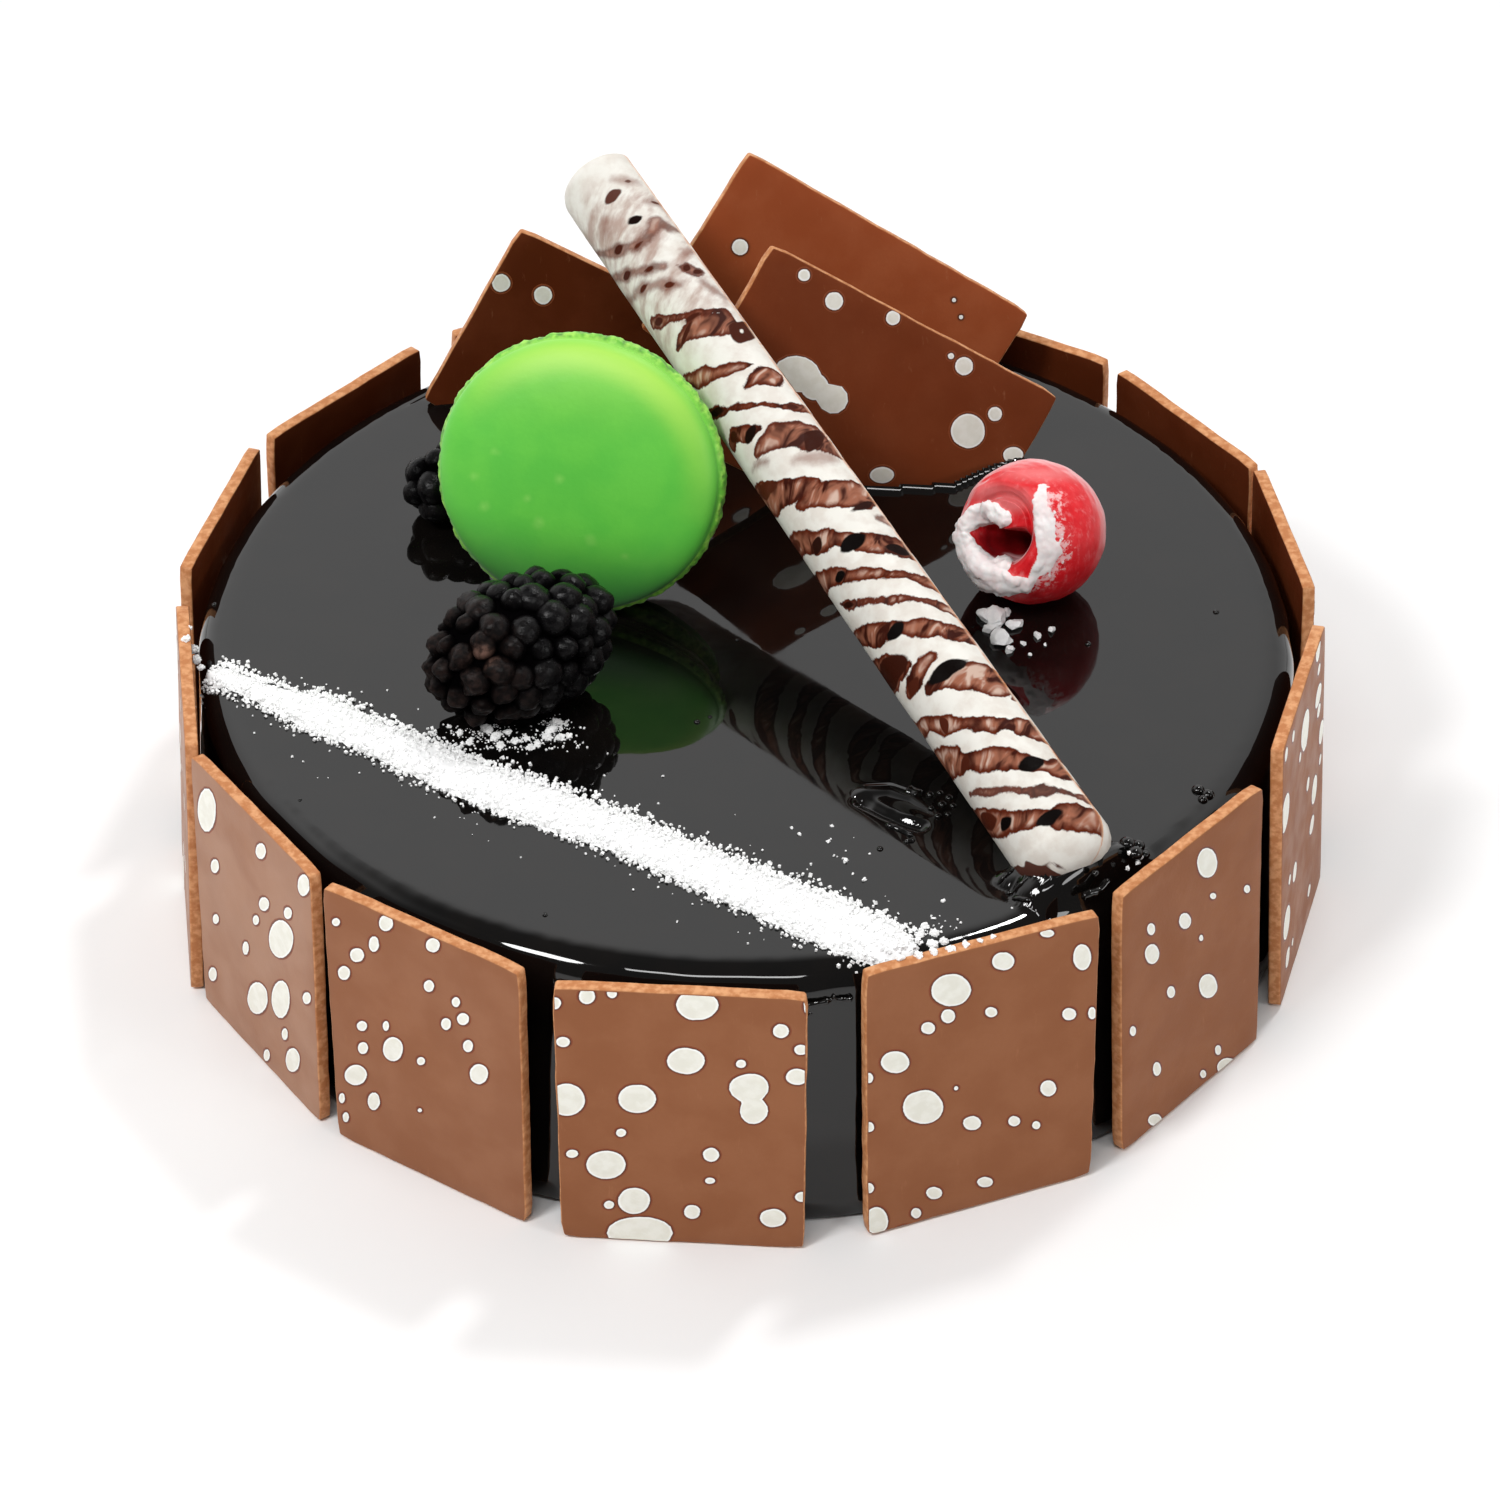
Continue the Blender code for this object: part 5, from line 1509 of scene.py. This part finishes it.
def chocolate_roll(marble):
    """A lapped sheet rolled into a tapered tube, open above and closed at the foot."""
    matrix = along(ROLL_TOP - ROLL_FOOT, ROLL_FOOT, ROLL_SEAM_ANGLE)
    to_camera = matrix.inverted() @ (CAMERA_PLACE / MM)
    facing = math.atan2(to_camera.y, to_camera.x) % (2.0 * math.pi)
    # Rows of the skin, and for each point its place on the flat sheet and how near the lip it is
    rows = [[(0.0, 0.0, -3.6)]]
    laid = [(0.0, SHEET_FOOT)]
    lips = [0.0]
    middle_rows = [(0.6 + (ROLL_LENGTH - 2.6) * row / ROLL_ROWS, 1.0) for row in range(1, ROLL_ROWS + 1)]
    end_rows = [(ROLL_LENGTH + height, scale) for height, scale in ROLL_END]
    for height, scale in (*ROLL_START, *middle_rows, *end_rows):
        row = []
        for step in range(ROLL_SIDES + 3):
            turn = min(step, ROLL_SIDES) / ROLL_SIDES
            angle = 2.0 * math.pi * turn
            reach = roll_radius(height) + ROLL_LAP * (turn - 0.5)
            if step > ROLL_SIDES:
                reach -= ROLL_LAP * (0.35 if step == ROLL_SIDES + 1 else 0.8)
                angle += 0.012
            far = scale * (reach + 0.06 * waver((angle * 6.0, height, 0.0), 7.0))
            row.append((far * math.cos(angle), far * math.sin(angle), height))
            laid.append(((angle - facing) * roll_radius(height), height))
            lips.append(smooth_step(ROLL_SIDES - 1.6, ROLL_SIDES - 0.3, step))
        rows.append(row)
    # The wound sheet inside: a spiral step at the open end, then the bore
    floor = ROLL_LENGTH * 0.3
    bore = ((ROLL_LENGTH - 1.2, 0.66), (ROLL_LENGTH - 0.9, 0.60), (ROLL_LENGTH - 2.5, 0.54), (floor, 0.52))
    for height, part in bore:
        reach = roll_radius(height) * part
        angles = [2.0 * math.pi * min(step, ROLL_SIDES) / ROLL_SIDES for step in range(ROLL_SIDES + 3)]
        rows.append([(reach * math.cos(angle), reach * math.sin(angle), height) for angle in angles])
        laid += [(angle * reach, SHEET_BORE) for angle in angles]
        lips += [0.0] * len(angles)
    rows.append([(0.0, 0.0, floor)])
    laid.append((0.0, SHEET_BORE))
    lips.append(0.0)
    mesh = mesh_of("marbled_roll", *lofted(rows), 40.0, matrix)

    wander = np.array([(waver((s, h, 0.0), 2.4), waver((s, h, 7.0), 2.4)) for s, h in laid])
    side, height = (np.array(laid) + 0.35 * wander).T
    chains, more_eyes = round_the_back((2.0 * math.pi - facing) * ROLL_FOOT_RADIUS)
    band, strength = chain_depth(side, height, chains)
    eye, darkness = eye_depth(side, height, (*ROLL_EYES, *more_eyes))
    x, y = photo_pixels(points_of(mesh))
    ragged = np.array([waver((s, h, 3.0), 1.3) for s, h in laid])
    stain = pixel_depth(x, y, (ROLL_STAIN,)) / 7.0 + 0.9 * ragged
    stain = np.where(np.abs(side) < 11.0, stain, OUTSIDE)
    darkness = np.where(stain > eye, STAIN_DARKNESS, darkness)
    smoke = smooth_step(100.0, 112.0, height) * smooth_step(141.0, 134.0, height)
    mark(mesh, band=band, strength=strength, eye=np.maximum(stain, eye), darkness=darkness)
    mark(mesh, lip=lips, smoke=0.75 * smoke)
    # The sheet's UV map runs across and along the streaks, in metres
    run_x, run_y = math.cos(math.radians(STREAK_ANGLE)), math.sin(math.radians(STREAK_ANGLE))
    sheet = np.stack([height * run_x - side * run_y, side * run_x + height * run_y], axis=1) * MM
    layer = mesh.uv_layers.new(name="sheet")
    numbers = np.empty(len(mesh.loops), np.int32)
    mesh.loops.foreach_get("vertex_index", numbers)
    layer.data.foreach_set("uv", sheet.astype(np.float32)[numbers].ravel())
    return settle(object_of("marbled_roll", mesh, marble), "marbled_chocolate", "chocolate_roll")


# ---- macaron


def macaron_frame():
    """Its X axis is level, its Y axis climbs the leaning face, Z points outwards."""
    facing = math.radians(MACARON_FACING)
    lean = math.radians(MACARON_LEAN)
    outward = Vector((math.sin(facing) * math.cos(lean), -math.cos(facing) * math.cos(lean), math.sin(lean)))
    level = Vector((math.cos(facing), math.sin(facing), 0.0))
    matrix = Matrix((level, outward.cross(level), outward)).transposed().to_4x4()
    matrix.translation = MACARON_BASE
    return matrix @ Matrix.Translation((0.0, MACARON_RADIUS * MACARON_FLATTENING, 0.0))


def macaron_shell(name, node, matrix, shell, seed):
    """A smooth dome over a ruffled, porous foot, with a flat underside."""
    rings = [("dome", 1.0 - (1.0 - step / 34.0) ** 1.7) for step in range(35)]
    rings += [("foot", step / 11.0) for step in range(1, 12)]
    rings += [("under", part) for part in (0.9, 0.6, 0.0)]
    rows = []
    layers = {"painted_light": [], "foot": [], "painted_pore_shade": [], "speck": [], "under": []}
    for kind, part in rings:
        pole = kind != "foot" and part == 0.0
        row = []
        for cosine, sine in circle(SHELL_SIDES)[:1 if pole else SHELL_SIDES]:
            place = Vector((cosine * MACARON_RADIUS, sine * MACARON_RADIUS, seed * 40.0))
            angle = math.atan2(sine, cosine)
            hole = 0.0
            if kind == "dome":
                upper = max(0.0, math.cos(angle - math.radians(DRAWN_SIDE)))
                far = (0.966 - 0.024 * upper) * MACARON_RADIUS * part
                height = FOOT_DEPTH + (SHELL_DEPTH - FOOT_DEPTH) * math.sqrt(max(0.0, 1.0 - part**3.2))
                dent = 0.10 * waver((far * cosine, far * sine, seed * 9.0), 11.0)
                height += dent * (1.0 - part**6)
                far += 0.12 * part**8 * waver(place, 5.0)
            elif kind == "foot":
                skirt = math.sin(math.pi * min(1.0, part * 1.05 + 0.02)) ** 0.7
                far = MACARON_RADIUS * (0.950 + 0.040 * skirt)
                height = FOOT_DEPTH * (1.0 - part)
                crumbly = waver(place + Vector((0.0, 0.0, height * 1.4)), 1.15)
                crumbly += 0.6 * waver(place + Vector((0.0, 0.0, height * 1.6)), 0.55)
                far += skirt * (0.30 * crumbly + 0.25 * waver(place, 4.0))
                # Pores are darkened where the foot is pushed in: painted shade
                hole = max(0.0, min(1.0, -1.6 * crumbly - 0.12)) * skirt
            else:
                far = 0.93 * MACARON_RADIUS * part
                height = 0.0
            row.append((far * cosine, far * MACARON_FLATTENING * sine, height))
            rim = part if kind == "dome" else 1.0
            # Painted highlight along the rim towards the highlight side, and painted light that pales the
            # upper part
            towards = max(0.0, math.cos(angle - math.radians(HIGHLIGHT_SIDE)))
            band = smooth_step(0.70, 0.90, rim) * (1.0 - 0.7 * smooth_step(0.93, 1.0, rim))
            x, y = far * cosine, far * sine
            near = min(math.hypot(x - px, y - py) / size for px, py, size in MACARON_SPECKS)
            layers["painted_light"].append(0.72 * band * towards + 0.35 * smooth_step(0.2, 1.0, rim * sine))
            layers["speck"].append(max(0.0, 1.0 - near) if kind == "dome" and seed == 1 else 0.0)
            # Painted shade on the lower part of the dome
            layers["under"].append(0.95 * smooth_step(0.25, 0.92, -far * sine / MACARON_RADIUS))
            layers["foot"].append(kind != "dome")
            layers["painted_pore_shade"].append(hole)
        rows.append(row)
    mesh = mesh_of(name, *lofted(rows), 60.0, matrix)
    mark(mesh, **layers)
    return settle(object_of(name, mesh, shell), "green_shell", node)


def macaron_filling(matrix, cream):
    """The thin layer between the shells, squeezed out a little unevenly."""
    radius = 0.915 * MACARON_RADIUS
    rows = []
    for part, depth in FILLING_PROFILE:
        row = []
        for cosine, sine in circle(FILLING_SIDES)[:1 if part == 0.0 else FILLING_SIDES]:
            swell = 0.25 * waver((cosine * radius, sine * radius, depth), 3.0)
            far = radius * part + (swell if part > 0.9 else 0.0)
            height = -PIECE_GAP - FILLING_DEPTH * depth
            row.append((far * cosine, far * MACARON_FLATTENING * sine, height))
        rows.append(row)
    mesh = mesh_of("macaron_cream", *lofted(rows), None, matrix)
    return settle(object_of("macaron_cream", mesh, cream), "pale_filling", "macaron_filling")


def macaron(shell, cream):
    matrix = macaron_frame()
    macaron_shell("front_shell", "macaron_shell_front", matrix, shell, 1)
    macaron_filling(matrix, cream)
    behind = Matrix.Translation((0.0, 0.0, -FILLING_DEPTH - 2.0 * PIECE_GAP))
    slip = Matrix.Translation(BACK_SHELL_SLIP) @ Matrix.Scale(BACK_SHELL_SIZE, 4)
    flip = Matrix.Rotation(math.pi, 4, "Y")
    macaron_shell("back_shell", "macaron_shell_back", matrix @ behind @ slip @ flip, shell, 2)


# ---- berries


def drupelet_places(half_length, half_width, spacing, rng):
    """Staggered rows round an egg shape: a point and its outward direction, in mm."""
    samples = 400
    arc = [0.0]
    for step in range(samples):
        middle = math.pi * (step + 0.5) / samples
        run = math.hypot(half_length * math.sin(middle), half_width * math.cos(middle))
        arc.append(arc[-1] + run * math.pi / samples)
    rows = max(3, round(arc[-1] / (0.87 * spacing)))
    for row in range(rows + 1):
        wanted = arc[-1] * row / rows
        latitude = math.pi * next(i for i, a in enumerate(arc) if a >= wanted) / samples
        count = max(1, round(2.0 * math.pi * half_width * math.sin(latitude) / spacing))
        start = 0.5 * (row % 2) + rng.uniform(-0.25, 0.25)
        for step in range(count):
            angle = 2.0 * math.pi * (step + start + rng.uniform(-0.2, 0.2)) / count
            tilt = latitude + rng.uniform(-0.2, 0.2) * spacing / half_length
            reach = half_width * math.sin(tilt)
            point = Vector((reach * math.cos(angle), reach * math.sin(angle), half_length * math.cos(tilt)))
            outward = Vector((point.x / half_width**2, point.y / half_width**2, point.z / half_length**2))
            yield point, outward.normalized()


def dark_berry(name, node, setting, seed, skin, tree):
    """Plump drupelets in rows on a core. One berry is wrinkled and brownish at its stalk end."""
    centre, direction, half_length, half_width, drying = setting
    matrix = along(direction, centre)
    turn = matrix.to_3x3()
    core_length = half_length - DRUPELET_RADIUS
    core_width = half_width - DRUPELET_RADIUS
    rng = random.Random(seed)
    places, outwards, plumpness = [], [], []
    for point, outward in drupelet_places(core_length, core_width, DRUPELET_SPACING, rng):
        places.append((matrix @ point) * MM)
        outwards.append(turn @ outward)
        dried = drying * smooth_step(0.15, -0.65, point.z / half_length)
        plumpness.append(rng.uniform(0.80, 1.12) * (1.0 - 0.12 * dried))
    mesh = bpy.data.meshes.new("places")
    mesh.from_pydata(places, [], [])
    mark(mesh, plumpness=plumpness)
    layer = mesh.attributes.new("outward", "FLOAT_VECTOR", "POINT")
    layer.data.foreach_set("vector", np.array(outwards, np.float32).ravel())
    drupelets = grown("drupelets", mesh, tree, {"Radius": DRUPELET_RADIUS * MM, "Seed": seed})
    core_half = (core_width + 0.7, core_width + 0.7, core_length)
    core_mesh = ball_mesh("core", [((0.0, 0.0, 0.0), core_half)], 40, 24)
    core_mesh.transform(Matrix.Translation(centre * MM) @ turn.to_4x4())
    berry = joined(name, [drupelets, object_of("core", core_mesh, skin)])
    mesh = berry.data
    points = points_of(mesh)
    back = np.array(matrix.inverted())
    local = (points / MM) @ back[:3, :3].T + back[:3, 3]
    dryness = drying * smooth_step(0.05, -0.55, local[:, 2] / half_length)
    for index, point in enumerate(points / MM):
        dry = dryness[index]
        along_x, along_y, along_z = local[index]
        shift = (0.22 + 0.75 * dry) * waver((along_x, along_y, 0.3 * along_z), 1.5, seed)
        shift += 0.5 * waver(point, 0.9, seed) * (0.22 + 0.3 * dry) + 0.45 * waver(point, 4.0, seed + 1.0)
        out = Vector(point) - centre
        points[index] = (Vector(point) + out.normalized() * shift) * MM
    move_points(mesh, points)
    mesh.shade_smooth()
    egg = np.array((half_width, half_width, half_length))
    # How near the outer crests a place is; the creases below them get painted shade
    crest = smooth_step(0.86, 0.97, np.sqrt(((local / egg) ** 2).sum(axis=1)))
    x, y = photo_pixels(points)
    middle_x, middle_y, half_x, half_y = DRY_PATCH
    fade = np.clip(1.6 - np.hypot((x - middle_x) / half_x, (y - middle_y) / half_y), 0.0, 1.0)
    towards = ((points / MM - np.array(centre)) @ np.array(CAMERA_PLACE)) > 0.0
    mark(mesh, dryness=dryness, crest=crest, fade=fade * towards * drying)
    return settle(berry, "dark_berry_skin", node)


def pixel_depth(x, y, ellipses):
    """Depth in photo pixels inside the nearest ellipse."""
    best = np.full(x.shape, -40.0)
    for px, py, half_x, half_y in ellipses:
        depth = (1.0 - np.hypot((x - px) / half_x, (y - py) / half_y)) * min(half_x, half_y)
        best = np.maximum(best, depth)
    return best


def red_berry(red):
    """A smooth cup-shaped fruit with a hollow, thick frost on its lip and a strip beside it."""
    profile = RED_OUTER + RED_LIP + RED_HOLLOW
    fine = []
    for (r0, h0), (r1, h1) in zip(profile, profile[1:]):
        fine += [(r0 + (r1 - r0) * step / 5.0, h0 + (h1 - h0) * step / 5.0) for step in range(5)]
    fine.append(profile[-1])
    lip_start = (len(RED_OUTER) - 1) * 5
    hollow_start = (len(RED_OUTER) + len(RED_LIP) - 1) * 5
    matrix = along(RED_OPENING, RED_CENTRE)
    climb = (matrix.to_3x3().inverted() @ Vector((0.25, 0.35, 1.0))).normalized()
    rows, hollowness = [], []
    for index, (radius, height) in enumerate(fine):
        inside = smooth_step(hollow_start - 4, hollow_start + 8, index)
        row = []
        for cosine, sine in circle(RED_SIDES)[:1 if radius <= 0.0 else RED_SIDES]:
            full = smooth_step(-0.25, 0.5, climb.x * cosine + climb.y * sine)
            sunk = height + (max(height, 0.90) - height) * full * inside
            local = Vector((radius * cosine, radius * sine, sunk))
            place = matrix @ (local * RED_RADIUS)
            out = local.normalized().lerp(Vector((-cosine, -sine, 0.3)).normalized(), inside)
            shift = 0.05 * waver(place, 1.1) + 0.12 * waver(place, 3.2)
            if index >= lip_start:
                shift += 0.35 * waver(place, 2.6, 3.0)
            row.append(local * RED_RADIUS + out * shift)
        rows.append(row)
        hollowness += [smooth_step(lip_start + 12, hollow_start + 5, index)] * len(row)
    mesh = mesh_of("red_fruit", *lofted(rows), None, matrix)
    places = points_of(mesh)
    normals = np.empty(len(mesh.vertices) * 3, np.float32)
    mesh.vertex_normals.foreach_get("vector", normals)
    normals = normals.reshape(-1, 3).astype(float)
    towards = ((np.array(CAMERA_PLACE) - places) * normals).sum(axis=1) > 0.0
    hollowness = np.array(hollowness)
    shown = towards & (hollowness < 0.5)
    x, y = photo_pixels(places)
    stir = np.array([waver(place, 1.3, 5.0) + 0.6 * waver(place, 0.6, 6.0) for place in places / MM])
    lobe = np.where(towards, chain_depth(x, y, RED_LOBES)[0] + 2.0 * stir, -40.0)
    # How far a place lies to the right of the strip, in photo pixels
    across, down, _ = zip(*RED_STRIP[1:])
    past = np.maximum(0.0, x - np.interp(y, down, across) + 2.0)
    strip = chain_depth(x, y, (RED_STRIP,))[0] + 1.2 * stir - 0.15 * past
    strip += 0.45 * np.minimum(past, 14.0) ** 1.2 * stir * (past < 22.0)
    dust = np.where(shown, strip, -40.0)
    haze = smooth_step(0.0, 8.0, past) * smooth_step(34.0, 12.0, past)
    haze *= smooth_step(482.0, 500.0, y) * smooth_step(598.0, 580.0, y)
    # Painted light on the top and the right rim, a little on the far side
    blush = np.where(towards, smooth_step(-6.0, 8.0, pixel_depth(x, y, RED_PAINTED_LIGHT)), 0.2) * 0.7
    upper = smooth_step(540.0, 522.0, y) * towards
    thick = 0.85 * np.sqrt(smooth_step(-1.0, 6.0, lobe)) + 0.12 * smooth_step(-1.0, 3.0, dust)
    thick += 0.22 * smooth_step(0.0, 3.0, np.maximum(lobe, dust)) * stir
    move_points(mesh, places + normals * thick[:, None] * MM)
    mark(mesh, lobe=lobe, dust=dust, haze=haze * shown, blush=blush)
    # Painted shade in the hollow, weaker in its upper part
    mark(mesh, hollow=hollowness * (1.0 - 0.9 * upper))
    return settle(object_of("red_fruit", mesh, red), "red_berry_skin", "red_berry")


# ---- crumbs


def carried(node, x, y):
    """The place in mm where the ray through a photo pixel meets the node that carries a crumb."""
    hit = nodes_tree(node).ray_cast(CAMERA_PLACE, photo_ray(x, y).normalized())[0]
    return hit / MM if hit is not None else on_top(x, y)


def angular_lumps(name, rows, rng, material):
    """Broken lumps with flat facets: place, half size and height in mm."""
    shape = bmesh.new()
    for place, size, height in rows:
        made = bmesh.ops.create_icosphere(shape, subdivisions=3, radius=1.0)["verts"]
        stretch = rng.uniform(0.6, 0.9)
        turn = Matrix.Rotation(rng.uniform(0.0, 3.1), 3, "Z")
        cuts = [Vector([rng.gauss(0, 1) for _ in range(3)]).normalized() for _ in range(9)]
        for vertex in made:
            point = vertex.co.copy()
            for cut in cuts:
                point -= cut * max(0.0, point.dot(cut) - 0.62)
            point += point.normalized() * 0.16 * noise.noise(point * 2.4 + Vector(place))
            local = turn @ Vector((point.x * size, point.y * size * stretch, point.z * height))
            vertex.co = (Vector(place) + local) * MM
    return object_of(name, mesh_from(shape, name, 24.0), material)


def sugar_crumbs(wet):
    """Lumps of melted sugar beside the red berry."""
    lumps = []
    for x, y, size, height in SUGAR_CRUMBS:
        place = on_top(x, y)
        lumps.append(((place.x, place.y, CAKE_TOP + 0.3 * height), 1.2 * size, 0.9 * height))
    return settle(angular_lumps("sugar_crumbs", lumps, random.Random(3), wet), "dark_glaze")


def sugar_clumps(white, tree):
    """Small heaps of sugar beside the dark berry, at the band's end and on two panels' tops."""
    lumps = []
    for node, rows in SUGAR_CLUMPS.items():
        for x, y, size, height in rows:
            place = carried(node, x, y)
            lumps.append(((place.x, place.y, place.z + 0.1 * height), size * 0.95, height * 0.8))
    heaps = angular_lumps("heaps", lumps, random.Random(8), white)
    carrier = heaps.data.copy()
    mark(carrier, grains=1.0)
    crystals = strewn("clump_grains", carrier, tree, 1.8e7, SUGAR_GRAIN * 0.9, 0.0, 12)
    settle(joined("sugar_clumps", [heaps, crystals]), "dark_glaze")


# ---- room


def white_surroundings():
    """White cards behind the cake, brightest low down, and a dim room."""
    world = bpy.data.worlds.new("studio cards")
    bpy.context.scene.world = world
    world.use_nodes = True
    new = Nodes(world.node_tree)
    way = new.add("ShaderNodeTexCoord").outputs["Generated"]
    parts = new.add("ShaderNodeSeparateXYZ", {0: way}).outputs
    behind = new.between(parts["Y"], -0.25, 0.45)
    low = new.between(parts["Z"], 0.70, 0.90, 1.0, 0.0)
    left = new.between(parts["X"], -0.5, 0.5, 1.10, 0.82)
    upper = new.between(parts["Z"], 0.45, 0.72, 0.86, 1.12)
    cards = new.times(new.times(behind, low), new.times(left, upper))
    strength = new.plus(new.times(cards, CARD_BRIGHTNESS), ROOM_BRIGHTNESS)
    new.feed(new.tree.nodes["Background"], {"Color": (1.0, 1.0, 1.0), "Strength": strength})


def make_room():
    """Pale floor, white cards and soft lamps."""
    white_surroundings()
    shape = bmesh.new()
    bmesh.ops.create_grid(shape, x_segments=1, y_segments=1, size=FLOOR_SIZE)
    pale = Finish("pale floor").done((0.95, 0.95, 0.95), 0.9)
    floor = object_of("floor", mesh_from(shape, "floor"), pale)
    floor.location.z = -FLOOR_DROP
    for name, place, width, depth, power in LAMPS:
        light = bpy.data.lights.new(name, "AREA")
        light.shape = "DISK" if width == depth else "RECTANGLE"
        light.size = width
        light.size_y = depth
        light.energy = power
        lamp = placed(name, light)
        lamp.location = place
        lamp.rotation_euler = (-Vector(place)).to_track_quat("-Z", "Y").to_euler()
    bpy.context.scene.view_settings.view_transform = "Standard"


# ---- build

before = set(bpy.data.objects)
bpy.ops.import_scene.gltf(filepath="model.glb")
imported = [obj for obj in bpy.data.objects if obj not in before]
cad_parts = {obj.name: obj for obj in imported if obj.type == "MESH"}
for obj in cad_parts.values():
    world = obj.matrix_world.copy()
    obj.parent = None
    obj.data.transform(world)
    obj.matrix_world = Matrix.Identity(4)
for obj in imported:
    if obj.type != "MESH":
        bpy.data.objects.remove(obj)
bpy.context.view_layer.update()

make_camera()
make_room()

glaze = mirror_glaze()
white = sugar_white()
dark = dark_skin()
chocolate = set_chocolate()
cream = cream_spot()
grains = grain_tree(white)
drupelets = drupelet_tree(dark)

glazed_cake(glaze)
glaze_bubbles(glaze)
glaze_bead("glaze_folds", GLAZE_FOLDS, 0.35, glaze)
glaze_bead("glaze_runs", GLAZE_RUNS, 1.0, glaze)
sugar_band(white, grains)
loose_sugar(grains)
for number, panel_node in enumerate(sorted(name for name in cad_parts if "panel" in name)):
    chocolate_panel(panel_node, chocolate, cream, 31 + number)
chocolate_roll(marbled_sheet())
macaron(baked_shell(), macaron_cream())
dark_berry("dark_berry_by_macaron", "dark_berry_front", FRONT_BERRY, 5, dark, drupelets)
dark_berry("dark_berry_behind", "dark_berry_left", LEFT_BERRY, 11, dark, drupelets)
red_berry(red_skin())
sugar_crumbs(wet_sugar())
sugar_clumps(white, grains)
